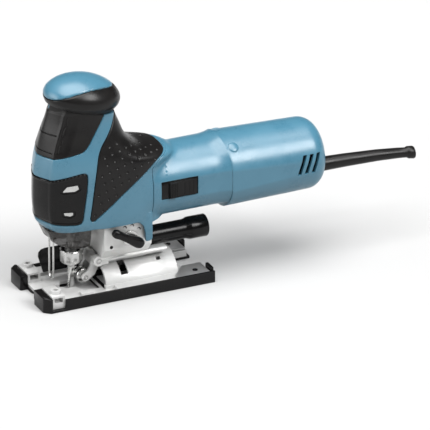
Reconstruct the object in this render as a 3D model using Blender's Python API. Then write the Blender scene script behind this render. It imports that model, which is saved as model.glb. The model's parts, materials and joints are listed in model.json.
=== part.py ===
"""Barrel-grip orbital jigsaw in metres, +Z up, with +X towards the blade and +Y to the left.

The origin is under the middle of the tool, on the surface that its sole stands on.
Lengths and places below are in millimetres, and solid() scales them once, when it makes a mesh.
"""

import math

import bmesh
import bpy
from mathutils import Vector

MM = 0.001
GAP = 0.3  # space between pieces that touch
REACH = 200.0  # how far a cutter runs past the tool

# Housing
WALL = 3.2
PAD_PROUD = 0.3
PAD_DEPTH = 1.3
HEAD_BACK = 76.0
SEAM_TOP = 53.0
GUARD_TIP = -180.0
COVER_END = -88.0
COVER_ROUNDING = 14.0

# Motor and gears
MOTOR_Z = 88.0
GEAR_Z = 115.0
PINION_TEETH = 9
GEAR_TEETH = 45
CRANK = 13.0
CRANK_ANGLE = math.radians(120.0)  # from the top, at rest
YOKE_Z = GEAR_Z + CRANK * math.cos(CRANK_ANGLE)

# Plunger, blade and roller
PLUNGER_X = 139.3
PLUNGER_RADIUS = 4.0
SLEEVE_RADIUS = 9.75
SLEEVE_LOW = 26.0
SLEEVE_HIGH = 38.0
ROLLER_X = 129.3
ROLLER_Z = 12.3
ROLLER_RADIUS = 6.7
RETAINER_X = 120.7
RETAINER_Z = 29.0

# Foot, base and levers
FOOT_BACK = 75.5
RAIL_BACK = 58.0
FOOT_FRONT = 119.0
FOOT_HALF = 24.0
ARCH_RADIUS = 23.7
ARCH_WALL = 2.5
BASE_BACK = 23.0
BASE_FRONT = 180.0
BASE_HALF = 38.5
SOLE_TOP = 2.2
SHOE_TOP = 8.0
BOLT_X = 98.0
NOZZLE_Z = 36.0
HUB_X = 95.8
HUB_Z = 50.1
RELEASE_X = 124.0
RELEASE_Y = -20.5
SWITCH_LOW = 81.5
SWITCH_HIGH = 97.0

# Knob
KNOB_CENTRE = (129.0, 178.7)
KNOB_TILT = math.radians(10.4)

# Head sections: height, nose, ridge, ridge half width, widest place, half width, back
HEAD = (
    (63.5, 164.6, 159.8, 15.2, 104, 29.6, 58),
    (67.0, 168.6, 163.4, 16.4, 104, 30.4, 58),
    (72.0, 172.0, 166.2, 17.3, 104, 31.0, 58),
    (90.0, 174.0, 167.7, 17.6, 104, 31.6, 58),
    (110.0, 173.8, 167.4, 17.6, 104, 31.4, 58),
    (119.0, 172.8, 166.5, 17.6, 104, 30.8, 47),
    (124.0, 172.1, 166.0, 17.4, 106, 30.0, 54),
    (129.0, 171.2, 165.2, 17.1, 108, 29.0, 77),
    (132.5, 170.6, 164.5, 16.9, 111, 28.0, 84),
    (137.0, 169.6, 163.2, 16.5, 115, 26.6, 88.8),
    (143.0, 168.2, 161.3, 15.9, 120, 25.0, 93.8),
    (152.0, 165.8, 158.4, 15.3, 125, 23.2, 97.6),
    (162.0, 162.6, 154.7, 14.3, 129, 21.7, 101.6),
    (177.0, 158.5, 150.8, 13.5, 131, 20.8, 105.0),
)
BACK_POWER = 2.4

# Knob rings: height along its own axis, half length, half width
KNOB = (
    (-15.5, 29.2, 21.2),
    (-12.5, 29.4, 21.4),
    (-9.5, 30.0, 22.2),
    (-6.5, 31.8, 24.4),
    (-3.0, 33.5, 26.5),
    (0.5, 34.0, 27.0),
    (4.0, 33.0, 26.1),
    (8.0, 30.0, 23.6),
    (12.0, 25.0, 19.6),
    (15.0, 19.0, 15.0),
    (17.2, 12.0, 9.6),
    (18.5, 4.0, 3.2),
)

# Side outlines (x, z)
NECK = ((99.0, 161.5), (160.0, 176.8))
BACK_SEAM = (
    (HEAD_BACK, 40.0), (HEAD_BACK, 112.0), (67.5, 120.6), (60.5, 123.0), (55.6, 124.8), (53.5, 128.0),
    (SEAM_TOP, 150.0),
)
HEAD_BOTTOM = ((185.0, 63.2), (150.0, 64.3), (128.0, 65.3), (119.0, 64.5))
FRONT_GRIP = (
    (190.0, 131.0), (167.0, 132.2), (151.0, 134.4), (138.0, 137.2), (133.5, 141.5), (127.0, 151.5),
    (112.0, 172.0), (190.0, 195.0),
)
VENT_PANEL = (
    (190.0, 112.0), (168.0, 113.8), (152.7, 117.0), (141.0, 119.2), (137.2, 118.8), (136.0, 115.6),
    (137.0, 101.5), (139.4, 84.5), (140.4, 75.5), (142.0, 72.8), (145.0, 71.8), (153.0, 71.9),
    (168.0, 73.4), (190.0, 74.0),
)
PALM_GRIP = (
    (104.0, 163.0), (113.5, 150.3), (122.5, 139.2), (126.0, 131.5), (129.4, 113.7), (134.4, 76.0),
    (133.2, 73.6), (130.6, 73.4), (117.4, 83.8), (103.3, 95.6), (88.5, 105.8), (81.4, 110.6),
    (70.8, 120.6), (64.4, 123.4), (59.0, 125.6), (57.4, 129.0), (57.4, 165.0), (85.0, 175.0),
)
CAP_EDGE = (
    (172.0, 177.0), (162.0, 182.5), (152.0, 186.5), (144.0, 188.7), (136.0, 189.9), (129.0, 190.3),
    (122.0, 189.9), (114.0, 188.7), (106.0, 186.5), (98.0, 183.4), (90.0, 179.4), (85.0, 176.4),
)
LEG = (
    (76.3, 72.0), (76.3, 47.0), (78.0, 45.3), (82.5, 45.3), (83.0, 54.0), (84.4, 59.5),
    (87.6, 63.1), (92.0, 64.5), (92.0, 72.0),
)
RETAINER = (
    (117.2, 29.0), (117.6, 21.0), (121.0, 13.8), (126.6, 9.6), (129.5, 8.8), (131.9, 9.8), (133.0, 12.3),
    (131.2, 15.2), (127.4, 17.4), (125.0, 22.0), (124.2, 29.0), (123.2, 31.5), (120.7, 32.5), (118.2, 31.5),
)
RELEASE_PLATE = (
    (126.0, 11.0), (156.8, 11.0), (161.3, 26.0), (161.0, 29.6), (158.6, 32.2), (155.0, 33.0), (126.0, 33.0),
)


def clear_scene():
    for item in list(bpy.data.objects):
        bpy.data.objects.remove(item)


def make_material(name, colour, roughness, metallic=0.0, alpha=1.0):
    made = bpy.data.materials.new(name)
    made.use_nodes = True
    shader = made.node_tree.nodes["Principled BSDF"]
    shader.inputs["Base Color"].default_value = (*colour, 1.0)
    shader.inputs["Roughness"].default_value = roughness
    shader.inputs["Metallic"].default_value = metallic
    shader.inputs["Alpha"].default_value = alpha
    return made


def make_materials():
    return {
        "blue": make_material("blue_plastic", (0.12, 0.36, 0.50), 0.38),
        "rubber": make_material("black_rubber", (0.022, 0.021, 0.021), 0.62),
        "black": make_material("black_plastic", (0.016, 0.016, 0.017), 0.38),
        "aluminium": make_material("cast_aluminium", (0.72, 0.72, 0.71), 0.36, 1.0),
        "steel": make_material("bright_steel", (0.66, 0.66, 0.66), 0.24, 1.0),
        "grey": make_material("grey_plate", (0.13, 0.13, 0.13), 0.5, 0.6),
        "smoke": make_material("smoked_plastic", (0.16, 0.13, 0.12), 0.12, 0.0, 0.55),
        "copper": make_material("copper_winding", (0.72, 0.30, 0.12), 0.35, 1.0),
        "iron": make_material("laminated_iron", (0.30, 0.30, 0.31), 0.5, 1.0),
        "brass": make_material("brass", (0.72, 0.52, 0.22), 0.3, 1.0),
        "carbon": make_material("carbon", (0.03, 0.03, 0.03), 0.7),
    }


def solid(name, points, faces):
    """A mesh object from points in millimetres, with its faces turned outwards."""
    mesh = bpy.data.meshes.new(name)
    mesh.from_pydata([Vector(point) * MM for point in points], [], faces)
    work = bmesh.new()
    work.from_mesh(mesh)
    bmesh.ops.recalc_face_normals(work, faces=work.faces)
    work.to_mesh(mesh)
    work.free()
    made = bpy.data.objects.new(name, mesh)
    bpy.context.scene.collection.objects.link(made)
    return made


def loft(name, rings):
    """A closed solid through rings that have the same number of points."""
    count = len(rings[0])
    points = [point for ring in rings for point in ring]
    faces = []
    for start in range(0, len(points) - count, count):
        for i in range(count):
            j = (i + 1) % count
            faces.append((start + i, start + j, start + count + j))
            faces.append((start + i, start + count + j, start + count + i))
    faces.append(tuple(reversed(range(count))))
    faces.append(tuple(range(len(points) - count, len(points))))
    return solid(name, points, faces)


def placed(axis, along, pair):
    """The point at a distance along an axis (0, 1 or 2), with the other two coordinates from a pair."""
    point = list(pair)
    point.insert(axis, along)
    return tuple(point)


def prism(name, axis, outline, low, high):
    return loft(name, [[placed(axis, along, pair) for pair in outline] for along in (low, high)])


def box(name, x, y, z):
    return prism(name, 2, [(x[0], y[0]), (x[1], y[0]), (x[1], y[1]), (x[0], y[1])], z[0], z[1])


def arc(centre, radius, start, end, steps):
    """Points along an arc, with its angles in degrees."""
    points = []
    for step in range(steps + 1):
        angle = math.radians(start + (end - start) * step / steps)
        points.append((centre[0] + radius * math.cos(angle), centre[1] + radius * math.sin(angle)))
    return points


def circle(centre, radius, count):
    return arc(centre, radius, 0.0, 360.0, count)[:-1]


def cylinder(name, axis, centre, radius, low, high, count=20):
    return prism(name, axis, circle(centre, radius, count), low, high)


def turned(name, axis, centre, profile, count=20):
    """A solid turned about an axis, from a profile of distances along it and radii."""
    rings = []
    for along, radius in profile:
        rings.append([placed(axis, along, pair) for pair in circle(centre, radius, count)])
    return loft(name, rings)


def combine(target, other, operation):
    modifier = target.modifiers.new(operation.lower(), "BOOLEAN")
    modifier.operation = operation
    modifier.object = other
    modifier.solver = "EXACT"
    depsgraph = bpy.context.evaluated_depsgraph_get()
    mesh = bpy.data.meshes.new_from_object(target.evaluated_get(depsgraph))
    target.modifiers.clear()
    target.data = mesh
    bpy.data.objects.remove(other)
    return target


def cut(target, *cutters):
    for cutter in cutters:
        combine(target, cutter, "DIFFERENCE")
    return target


def join(target, *others):
    for other in others:
        combine(target, other, "UNION")
    return target


def keep(target, region):
    return combine(target, region, "INTERSECT")


def copied(source, name):
    made = bpy.data.objects.new(name, source.data.copy())
    bpy.context.scene.collection.objects.link(made)
    return made


def mirrored(source, name):
    """A copy of a piece on the other side of the tool's middle plane."""
    made = copied(source, name)
    work = bmesh.new()
    work.from_mesh(made.data)
    for vertex in work.verts:
        vertex.co.y = -vertex.co.y
    bmesh.ops.reverse_faces(work, faces=work.faces)
    work.to_mesh(made.data)
    work.free()
    return made


def tube(name, axis, centre, outer, inner, low, high, count=20):
    body = cylinder(name, axis, centre, outer, low, high, count)
    return cut(body, cylinder("bore", axis, centre, inner, low - 1.0, high + 1.0, count))


def inset(outline, distance):
    """The outline with every edge moved inwards by a distance."""
    area = 0.0
    for (ax, ay), (bx, by) in zip(outline, outline[1:] + outline[:1]):
        area += ax * by - bx * ay
    side = math.copysign(distance, area)
    moved = []
    count = len(outline)
    for i in range(count):
        before = Vector(outline[i - 1])
        here = Vector(outline[i])
        after = Vector(outline[(i + 1) % count])
        first = (here - before).normalized()
        second = (after - here).normalized()
        normal_one = Vector((-first.y, first.x))
        normal_two = Vector((-second.y, second.x))
        mitre = (normal_one + normal_two).normalized()
        moved.append(tuple(here + mitre * (side / mitre.dot(normal_one))))
    return moved


def finish(piece, material, axis_point=(0.0, 0.0, 0.0), sharp=35.0):
    """Weld and shade a piece, and put its origin at a point in millimetres."""
    work = bmesh.new()
    work.from_mesh(piece.data)
    bmesh.ops.remove_doubles(work, verts=work.verts, dist=0.002 * MM)
    bmesh.ops.dissolve_degenerate(work, edges=work.edges, dist=0.002 * MM)
    origin = Vector(axis_point) * MM
    for vertex in work.verts:
        vertex.co -= origin
    work.to_mesh(piece.data)
    work.free()
    piece.location = origin
    piece.data.materials.clear()
    piece.data.materials.append(material)
    piece.data.shade_smooth()
    piece.data.set_sharp_from_angle(angle=math.radians(sharp))
    return piece


def both_sides(half):
    """A whole outline from the half with y at or above 0, whose ends lie on y = 0."""
    return half + [(x, -y) for x, y in reversed(half[1:-1])]


def head_outline(row, offset):
    """One head section: a blunt wedge in front, bulging sides and a rounded back."""
    nose, ridge, ridge_half, widest, half, back = row
    nose += offset
    ridge += offset
    ridge_half += 0.6 * offset
    half += offset
    back -= offset
    points = [(nose, 0.0), (nose - 0.37 * (nose - ridge), 0.5 * ridge_half)]
    steps = 5
    for step in range(steps):
        turn = 0.5 * math.pi * step / steps
        x = widest + (ridge - widest) * math.cos(turn)
        points.append((x, ridge_half + (half - ridge_half) * math.sin(turn)))
    steps = 7
    for step in range(steps + 1):
        turn = 0.5 * math.pi * step / steps
        x = widest - (widest - back) * math.sin(turn) ** (2.0 / BACK_POWER)
        y = half * max(0.0, math.cos(turn)) ** (2.0 / BACK_POWER)
        points.append((x, y if step < steps else 0.0))
    return both_sides(points)


def head_form(offset, low, high):
    """The head's outer form moved out by an offset; its end sections are carried on to low and high."""
    rings = []
    last = len(HEAD) - 1
    for index, row in enumerate(HEAD):
        height = {0: low, last: high}.get(index, row[0])
        rings.append([(x, y, height) for x, y in head_outline(row[1:], offset)])
    return loft("head_form", rings)


def flattened_circle(radius, height, flat, count=28):
    """A circle about (0, height) whose sides are clipped at y = +-flat."""
    points = []
    for step in range(count):
        angle = 2.0 * math.pi * (step + 0.5) / count
        y = radius * math.cos(angle)
        points.append((max(-flat, min(flat, y)), height + radius * math.sin(angle)))
    return points


def barrel_form(offset, back, front):
    outline = flattened_circle(30.8 + offset, MOTOR_Z, 29.5 + offset)
    return prism("barrel_form", 0, outline, back, front)


def cover_form(offset, front):
    """The rear cover's outer form, which narrows slightly and rounds off at its end."""
    straight = COVER_END + COVER_ROUNDING
    rings = []
    for x, loss in [(front, 0.0), (straight, 0.0)] + [
        (straight - COVER_ROUNDING * math.sin(turn), COVER_ROUNDING * (1.0 - math.cos(turn)))
        for turn in (0.5, 0.95, 1.3, 0.5 * math.pi)
    ]:
        share = (13.0 - x) / (13.0 - COVER_END)
        radius = 33.2 - 2.4 * share - loss + offset
        along = x - offset if x < straight - 0.1 else x
        outline = flattened_circle(radius, 87.0 - share, 31.6 - 0.8 * share - loss + offset)
        rings.append([(along, y, z) for y, z in outline])
    return loft("cover_form", rings)


def rear_seam(z, shift):
    """Where the rear cover begins: straight at the sides, and swept forward over the top."""
    rise = max(0.0, min(1.0, (z - MOTOR_Z) / 30.8))
    return 3.4 + 2.6 * rise**4 + shift


def rear_seam_line(shift):
    return [(rear_seam(z, shift), z) for z in (40.0, 95.0, 103.0, 109.0, 114.0, 117.5, 121.0, 130.0)]


def neck_height(x):
    (x0, z0), (x1, z1) = NECK
    return z0 + (x - x0) * (z1 - z0) / (x1 - x0)


def below_neck(name, drop):
    """Everything under the sloping plane where the knob sits."""
    top = [(REACH, neck_height(REACH) - drop), (-REACH, neck_height(-REACH) - drop)]
    return prism(name, 1, [(-REACH, 0.0), (REACH, 0.0)] + top, -REACH, REACH)


def side_cutter(name, outline, half=REACH):
    return prism(name, 1, outline, -half, half)


def body_form(offset, low=63.5, high=177.0):
    """The head and the barrel grown together."""
    return join(head_form(offset, low, high), barrel_form(offset, -10.0, 96.0))


def make_pad(name, outline, form_out, form_in):
    """A soft insert: a thin layer of the body's surface inside a side outline."""
    pad = copied(form_out, name)
    keep(pad, side_cutter("pad_side", inset(list(outline), GAP)))
    cut(pad, copied(form_in, "pad_inside"))
    return keep(pad, below_neck("pad_top", GAP))


def make_pads(materials):
    form_out = body_form(PAD_PROUD)
    form_in = body_form(-PAD_DEPTH, 50.0, 190.0)
    front = make_pad("front_grip", FRONT_GRIP, form_out, form_in)
    vent = make_pad("vent_panel", VENT_PANEL, form_out, form_in)
    palm = make_pad("palm_grip", PALM_GRIP, form_out, form_in)
    bpy.data.objects.remove(form_out)
    bpy.data.objects.remove(form_in)
    finish(front, materials["rubber"])
    finish(vent, materials["black"])
    finish(palm, materials["rubber"])


def make_head_and_motor_housing(materials):
    """Two head shells, which meet in the middle plane, and the motor housing behind them."""
    shell = body_form(0.0)
    cut(shell, body_form(-WALL, 50.0, 190.0))
    pocket_floor = body_form(-PAD_DEPTH - GAP, 50.0, 190.0)
    back = [(x - GAP, z - 0.6 * GAP) for x, z in BACK_SEAM]
    motor_side = back + [(rear_seam(150.0, GAP), 150.0)] + rear_seam_line(GAP)[::-1]
    motor = keep(copied(shell, "motor_housing"), side_cutter("motor_side", motor_side))
    for outline in (FRONT_GRIP, VENT_PANEL, PALM_GRIP):
        layer = side_cutter("pocket", list(outline), 60.0)
        cut(shell, cut(layer, copied(pocket_floor, "floor")))
    bpy.data.objects.remove(pocket_floor)
    head_side = list(HEAD_BOTTOM) + [(HEAD_BACK, 64.5)] + list(BACK_SEAM[1:])
    head_side += [(SEAM_TOP, 190.0), (185.0, 190.0)]
    keep(shell, side_cutter("head_side", head_side))
    keep(shell, below_neck("neck", 0.0))
    left = copied(shell, "head_shell_left")
    keep(left, box("left_half", (-REACH, REACH), (0.5 * GAP, REACH), (0.0, REACH)))
    join(left, prism("leg", 1, LEG, 25.5, 28.4))
    bpy.data.objects.remove(shell)
    right = mirrored(left, "head_shell_right")
    recess = box("switch_recess", (34.5, 68.5), (27.6, 40.0), (SWITCH_LOW - 0.5, SWITCH_HIGH + 0.5))
    cut(motor, recess)
    finish(left, materials["blue"])
    finish(right, materials["blue"])
    finish(motor, materials["blue"])


def make_rear_cover(materials):
    cover = cover_form(0.0, 20.0)
    cover.name = "rear_cover"
    cut(cover, cover_form(-3.0, 30.0))
    seam = rear_seam_line(0.0)
    outline = [(-REACH, 0.0), (-REACH, 190.0), (seam[-1][0], 190.0)] + seam[::-1] + [(seam[0][0], 0.0)]
    keep(cover, side_cutter("cover_side", outline))
    for vent in range(3):
        top = -63.0 - 6.4 * vent
        slot = [(top, 97.5), (top - 3.6, 97.5), (top + 2.4, 80.5), (top + 6.0, 80.5)]
        cut(cover, side_cutter("vent", slot, 60.0))
    cut(cover, cylinder("guard_hole", 0, (0.0, 71.8), 6.7, -100.0, -70.0))
    cut(cover, box("dial_slot", (-95.0, -80.0), (-8.3, 8.3), (94.9, 101.1)))
    finish(cover, materials["blue"])


def make_cord_guard(materials):
    """A tapered, gently drooping guard with a collar inside the cover and a flared lip."""
    profile = (
        (-76.0, 71.8, 8.2), (-79.0, 71.8, 8.2), (-79.01, 71.8, 6.3), (-92.0, 71.7, 6.3),
        (-115.0, 71.2, 5.8), (-145.0, 69.9, 5.1), (-165.0, 68.2, 4.6), (-172.5, 67.3, 4.4),
        (-174.5, 67.0, 5.4), (GUARD_TIP, 66.2, 5.5),
    )
    rings = []
    for x, z, radius in profile:
        rings.append([(x, y, height) for y, height in circle((0.0, z), radius, 20)])
    guard = loft("cord_guard", rings)
    cut(guard, cylinder("bore", 0, (0.0, 66.9), 3.4, GUARD_TIP - 5.0, GUARD_TIP + 22.0, 16))
    finish(guard, materials["rubber"])


def knob_form(name, shrink):
    rings = []
    for height, half_length, half_width in KNOB:
        ring = []
        for step in range(28):
            angle = 2.0 * math.pi * step / 28
            along = (half_length - shrink) * math.cos(angle)
            x = KNOB_CENTRE[0] + along * math.cos(KNOB_TILT) - height * math.sin(KNOB_TILT)
            z = KNOB_CENTRE[1] + along * math.sin(KNOB_TILT) + height * math.cos(KNOB_TILT)
            ring.append((x, (half_width - shrink) * math.sin(angle), z))
        rings.append(ring)
    return loft(name, rings)


def make_knob(materials):
    """A soft mushroom grip with a hard cap set into its top."""
    grip = knob_form("knob_grip", 0.0)
    above = list(CAP_EDGE) + [(85.0, 230.0), (172.0, 230.0)]
    cap = keep(copied(grip, "knob_cap"), side_cutter("cap_side", [(x, z + GAP) for x, z in above]))
    cut(grip, side_cutter("cap_room", above))
    cut(grip, below_neck("neck", -GAP))
    finish(grip, materials["rubber"])
    finish(cap, materials["blue"])


def foot_outline():
    """The foot's cross-section: flat sides, undercut flanks with a rail, and a hollow for the arch."""
    hollow = arc((0.0, 0.0), ARCH_RADIUS + GAP, 110.5, 69.5, 6)
    right = [(15.2, 27.4), (17.2, 28.9), (17.6, 30.2), (16.2, 31.2), (FOOT_HALF, 41.0), (FOOT_HALF, 62.0)]
    return hollow + right + [(-y, z) for y, z in reversed(right)]


def make_gear_housing(materials):
    """One casting: the foot, a floor, a rear wall for bearings and an arm over the plunger."""
    casting = prism("gear_housing", 0, foot_outline(), FOOT_BACK, FOOT_FRONT)
    rail = [(9.2, 23.2), (15.2, 27.4), (17.2, 28.9), (17.6, 30.2), (16.2, 31.2), (9.2, 31.2)]
    for side in (1.0, -1.0):
        outline = [(side * y, z) for y, z in rail]
        join(casting, prism("rail", 0, outline, RAIL_BACK, FOOT_BACK + 4.0))
    cut(casting, box("behind_head", (60.0, 76.6), (-60.0, 60.0), (55.5, 80.0)))
    half = 22.0
    join(casting, box("block", (96.0, 119.0), (-half, half), (58.0, 69.0)))
    join(casting, box("floor", (97.0, 150.0), (-18.0, 18.0), (66.5, 71.0)))
    join(casting, box("floor_tip", (149.0, 160.0), (-12.0, 12.0), (66.5, 71.0)))
    join(casting, box("rear_wall", (94.0, 101.0), (-14.0, 14.0), (60.5, 125.0)))
    join(casting, box("upper_wall", (97.5, 101.0), (-9.0, 9.0), (123.0, 138.0)))
    join(casting, box("arm", (99.0, 148.0), (-7.5, 7.5), (134.0, 142.5)))
    join(casting, cylinder("sleeve", 2, (PLUNGER_X, 0.0), 8.6, 58.5, 68.0))
    for side in (1.0, -1.0):
        y = sorted((side * 11.0, side * 16.5))
        join(casting, box("lug", (112.0, RETAINER_X), y, (25.5, 33.0)))
        join(casting, cylinder("boss", 1, (RETAINER_X, RETAINER_Z), 4.6, y[0], y[1], 20))
    join(casting, box("column", (118.0, 127.0), (-23.5, -17.5), (34.0, 69.0)))
    join(casting, cylinder("hinge_pin", 2, (RELEASE_X, RELEASE_Y), 1.5, 12.0, 36.0, 12))
    cut(casting, box("gear_room", (107.0, 122.0), (-9.0, 9.0), (130.0, 138.8)))
    cut(casting, box("above_bushing", (130.0, 150.0), (-9.0, 9.0), (140.0, 145.0)))
    cut(casting, box("retainer_room", (115.8, 120.0), (-9.4, 9.4), (20.0, 34.2)))
    cut(casting, cylinder("retainer_pin_hole", 1, (RETAINER_X, RETAINER_Z), 2.3, -30.0, 30.0, 16))
    cut(casting, cylinder("motor_bearing_hole", 0, (0.0, MOTOR_Z), 11.3, 90.0, 105.0))
    cut(casting, cylinder("spindle_hole", 0, (0.0, GEAR_Z), 4.3, 90.0, 105.0, 16))
    cut(casting, cylinder("bushing_holes", 2, (PLUNGER_X, 0.0), 6.3, 50.0, 150.0))
    cut(casting, cylinder("duct", 0, (0.0, NOZZLE_Z), 6.9, 60.0, 91.0))
    cut(casting, cylinder("hub_hole", 1, (HUB_X, HUB_Z), 4.3, 12.0, 30.0, 20))
    cut(casting, cylinder("bolt_hole", 2, (BOLT_X, 0.0), 3.3, 15.0, 34.0, 16))
    finish(casting, materials["aluminium"])


def make_bushings_and_bearings(materials):
    place = (PLUNGER_X, 0.0)
    inner = PLUNGER_RADIUS + GAP
    finish(tube("lower_bushing", 2, place, 6.0, inner, 58.5, 70.5), materials["brass"])
    finish(tube("upper_bushing", 2, place, 6.0, inner, 134.2, 139.8), materials["brass"])
    place = (0.0, MOTOR_Z)
    finish(tube("front_bearing", 0, place, 11.0, 4.3, 94.3, 100.7), materials["steel"])
    finish(tube("rear_bearing", 0, place, 8.0, 3.3, -66.0, -59.0), materials["steel"])
    finish(cylinder("gear_spindle", 0, (0.0, GEAR_Z), 4.0, 94.5, 115.5, 16), materials["steel"])


def make_dust_cover(materials):
    """A smoked cover, open below and behind, that slides down round the blade."""
    sections = ((42.4, 146.0, 12.0), (47.0, 154.5, 13.2), (52.0, 160.6, 14.3), (62.8, 165.2, 15.6))
    shapes = []
    for shrink, low, high in ((0.0, 0.0, 0.0), (1.6, -6.0, 6.0)):
        rings = []
        for index, (z, front, half) in enumerate(sections):
            height = z + {0: low, len(sections) - 1: high}.get(index, 0.0)
            width = half - shrink
            nose = front - shrink
            outline = [(127.0 - 4.0 * shrink, -width), (nose - 8.0, -width)]
            outline += arc((nose - 0.62 * width - 2.0, 0.0), width, -68.0, 68.0, 6)
            outline += [(nose - 8.0, width), (127.0 - 4.0 * shrink, width)]
            rings.append([(min(x, nose), y, height) for x, y in outline])
        shapes.append(loft("dust_cover", rings))
    cover, hollow = shapes
    cover.name = "dust_cover"
    cut(cover, hollow)
    cut(cover, box("wire_slot", (149.0, 170.0), (-5.7, 5.7), (40.0, 54.5)))
    finish(cover, materials["smoke"], (PLUNGER_X, 0.0, 54.0))


def make_wire_guard(materials):
    """A bent wire in front of the blade, hanging from the casting's floor."""
    x = 157.5
    half = 4.3
    points = [(x, -half, 66.2)]
    points += [(x, y, z) for y, z in arc((0.0, 18.3), half, 180.0, 360.0, 8)]
    points.append((x, half, 66.2))
    curve = bpy.data.curves.new("wire_guard", "CURVE")
    curve.dimensions = "3D"
    curve.bevel_depth = 0.9 * MM
    curve.bevel_resolution = 2
    curve.use_fill_caps = True
    spline = curve.splines.new("POLY")
    spline.points.add(len(points) - 1)
    for point, place in zip(spline.points, points):
        point.co = (*(Vector(place) * MM), 1.0)
    wire = bpy.data.objects.new("wire_guard", curve)
    bpy.context.scene.collection.objects.link(wire)
    curve.materials.append(materials["steel"])


def make_dust_nozzle(materials):
    shoulder = FOOT_BACK - GAP
    outer = ((83.0, 6.5), (shoulder, 6.5), (shoulder - 0.01, 8.4), (34.0, 8.4), (31.0, 9.7), (15.0, 9.7))
    nozzle = turned("dust_nozzle", 0, (0.0, NOZZLE_Z), outer)
    inner = ((85.0, 5.0), (71.0, 5.0), (65.0, 6.9), (34.0, 6.9), (31.0, 8.2), (13.0, 8.2))
    finish(cut(nozzle, turned("bore", 0, (0.0, NOZZLE_Z), inner)), materials["black"])


def toothed(teeth, tip, root, first, centre, widths=(0.28, 0.13)):
    """The outline of a gear; widths are half a tooth's root and tip as shares of its pitch."""
    points = []
    for tooth in range(teeth):
        for share, radius in ((-widths[0], root), (-widths[1], tip), (widths[1], tip), (widths[0], root)):
            angle = first + 2.0 * math.pi * (tooth + share) / teeth
            points.append((centre[0] + radius * math.cos(angle), centre[1] + radius * math.sin(angle)))
    return points


def make_armature(materials):
    axis = (0.0, MOTOR_Z)
    origin = (25.0, 0.0, MOTOR_Z)
    profile = ((-67.0, 3.0), (-57.0, 3.0), (-56.0, 4.0), (103.0, 4.0), (104.0, 3.3), (116.0, 3.3))
    shaft = turned("armature_shaft", 0, axis, profile, 20)
    pinion = toothed(PINION_TEETH, 5.2, 3.5, 0.5 * math.pi, axis)
    join(shaft, prism("pinion", 0, pinion, 107.5, 115.8))
    finish(shaft, materials["steel"], origin)
    core = prism("armature_core", 0, toothed(12, 15.0, 12.6, 0.0, axis, (0.40, 0.36)), 0.0, 50.0)
    cut(core, cylinder("bore", 0, axis, 4.3, -5.0, 55.0, 20))
    finish(core, materials["iron"], origin)
    for name, low, high in (("front_winding", 50.3, 58.0), ("rear_winding", -10.0, -0.3)):
        finish(tube(name, 0, axis, 13.2, 4.4, low, high, 20), materials["copper"], origin)
    segments = prism("commutator", 0, toothed(20, 10.0, 9.3, 0.0, axis, (0.46, 0.42)), -34.0, -18.0)
    cut(segments, cylinder("bore", 0, axis, 4.3, -40.0, -10.0, 20))
    finish(segments, materials["copper"], origin)
    fan = cylinder("cooling_fan", 0, axis, 24.0, 62.0, 63.5, 32)
    join(fan, prism("blades", 0, toothed(12, 23.4, 9.0, 0.0, axis, (0.10, 0.035)), 63.0, 71.0))
    cut(fan, cylinder("bore", 0, axis, 4.3, 55.0, 80.0, 20))
    finish(fan, materials["black"], origin)


def make_stator(materials):
    axis = (0.0, MOTOR_Z)
    stator = prism("stator_core", 0, flattened_circle(25.4, MOTOR_Z, 24.2), 0.0, 50.0)
    cut(stator, cylinder("bore", 0, axis, 16.0, -5.0, 55.0, 32))
    finish(stator, materials["iron"])
    for name, low, high in (("front_field_coil", 50.3, 56.5), ("rear_field_coil", -8.0, -0.3)):
        finish(tube(name, 0, axis, 23.0, 16.0, low, high), materials["copper"])
    for side, word in ((1.0, "left"), (-1.0, "right")):
        holder = box(f"brush_holder_{word}", (-31.0, -21.0), sorted((side * 14.0, side * 25.0)), (83.5, 92.5))
        cut(holder, box("channel", (-29.0, -23.0), sorted((side * 10.0, side * 23.4)), (85.5, 90.5)))
        finish(holder, materials["brass"])
        brush = box(f"carbon_brush_{word}", (-28.7, -23.3), sorted((side * 10.5, side * 21.0)), (85.8, 90.2))
        finish(brush, materials["carbon"])


def make_gear_train(materials):
    """The reduction gear with its crank pin, and a weight that balances the plunger."""
    axis = (0.0, GEAR_Z)
    origin = (112.0, 0.0, GEAR_Z)
    first = -0.5 * math.pi + math.pi / GEAR_TEETH
    gear = prism("drive_gear", 0, toothed(GEAR_TEETH, 23.2, 21.4, first, axis), 108.0, 115.7)
    pin = (CRANK * math.sin(CRANK_ANGLE), GEAR_Z + CRANK * math.cos(CRANK_ANGLE))
    join(gear, cylinder("crank_pin", 0, pin, 3.0, 112.0, 131.1, 16))
    cut(gear, cylinder("bore", 0, axis, 4.3, 100.0, 120.0, 16))
    finish(gear, materials["steel"], origin)
    turn = 90.0 - math.degrees(CRANK_ANGLE) + 180.0
    outline = arc(axis, 19.0, turn - 75.0, turn + 75.0, 12) + arc(axis, 6.0, turn + 75.0, turn - 75.0, 6)
    finish(prism("balance_weight", 0, outline, 116.0, 121.0), materials["iron"], origin)


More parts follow.
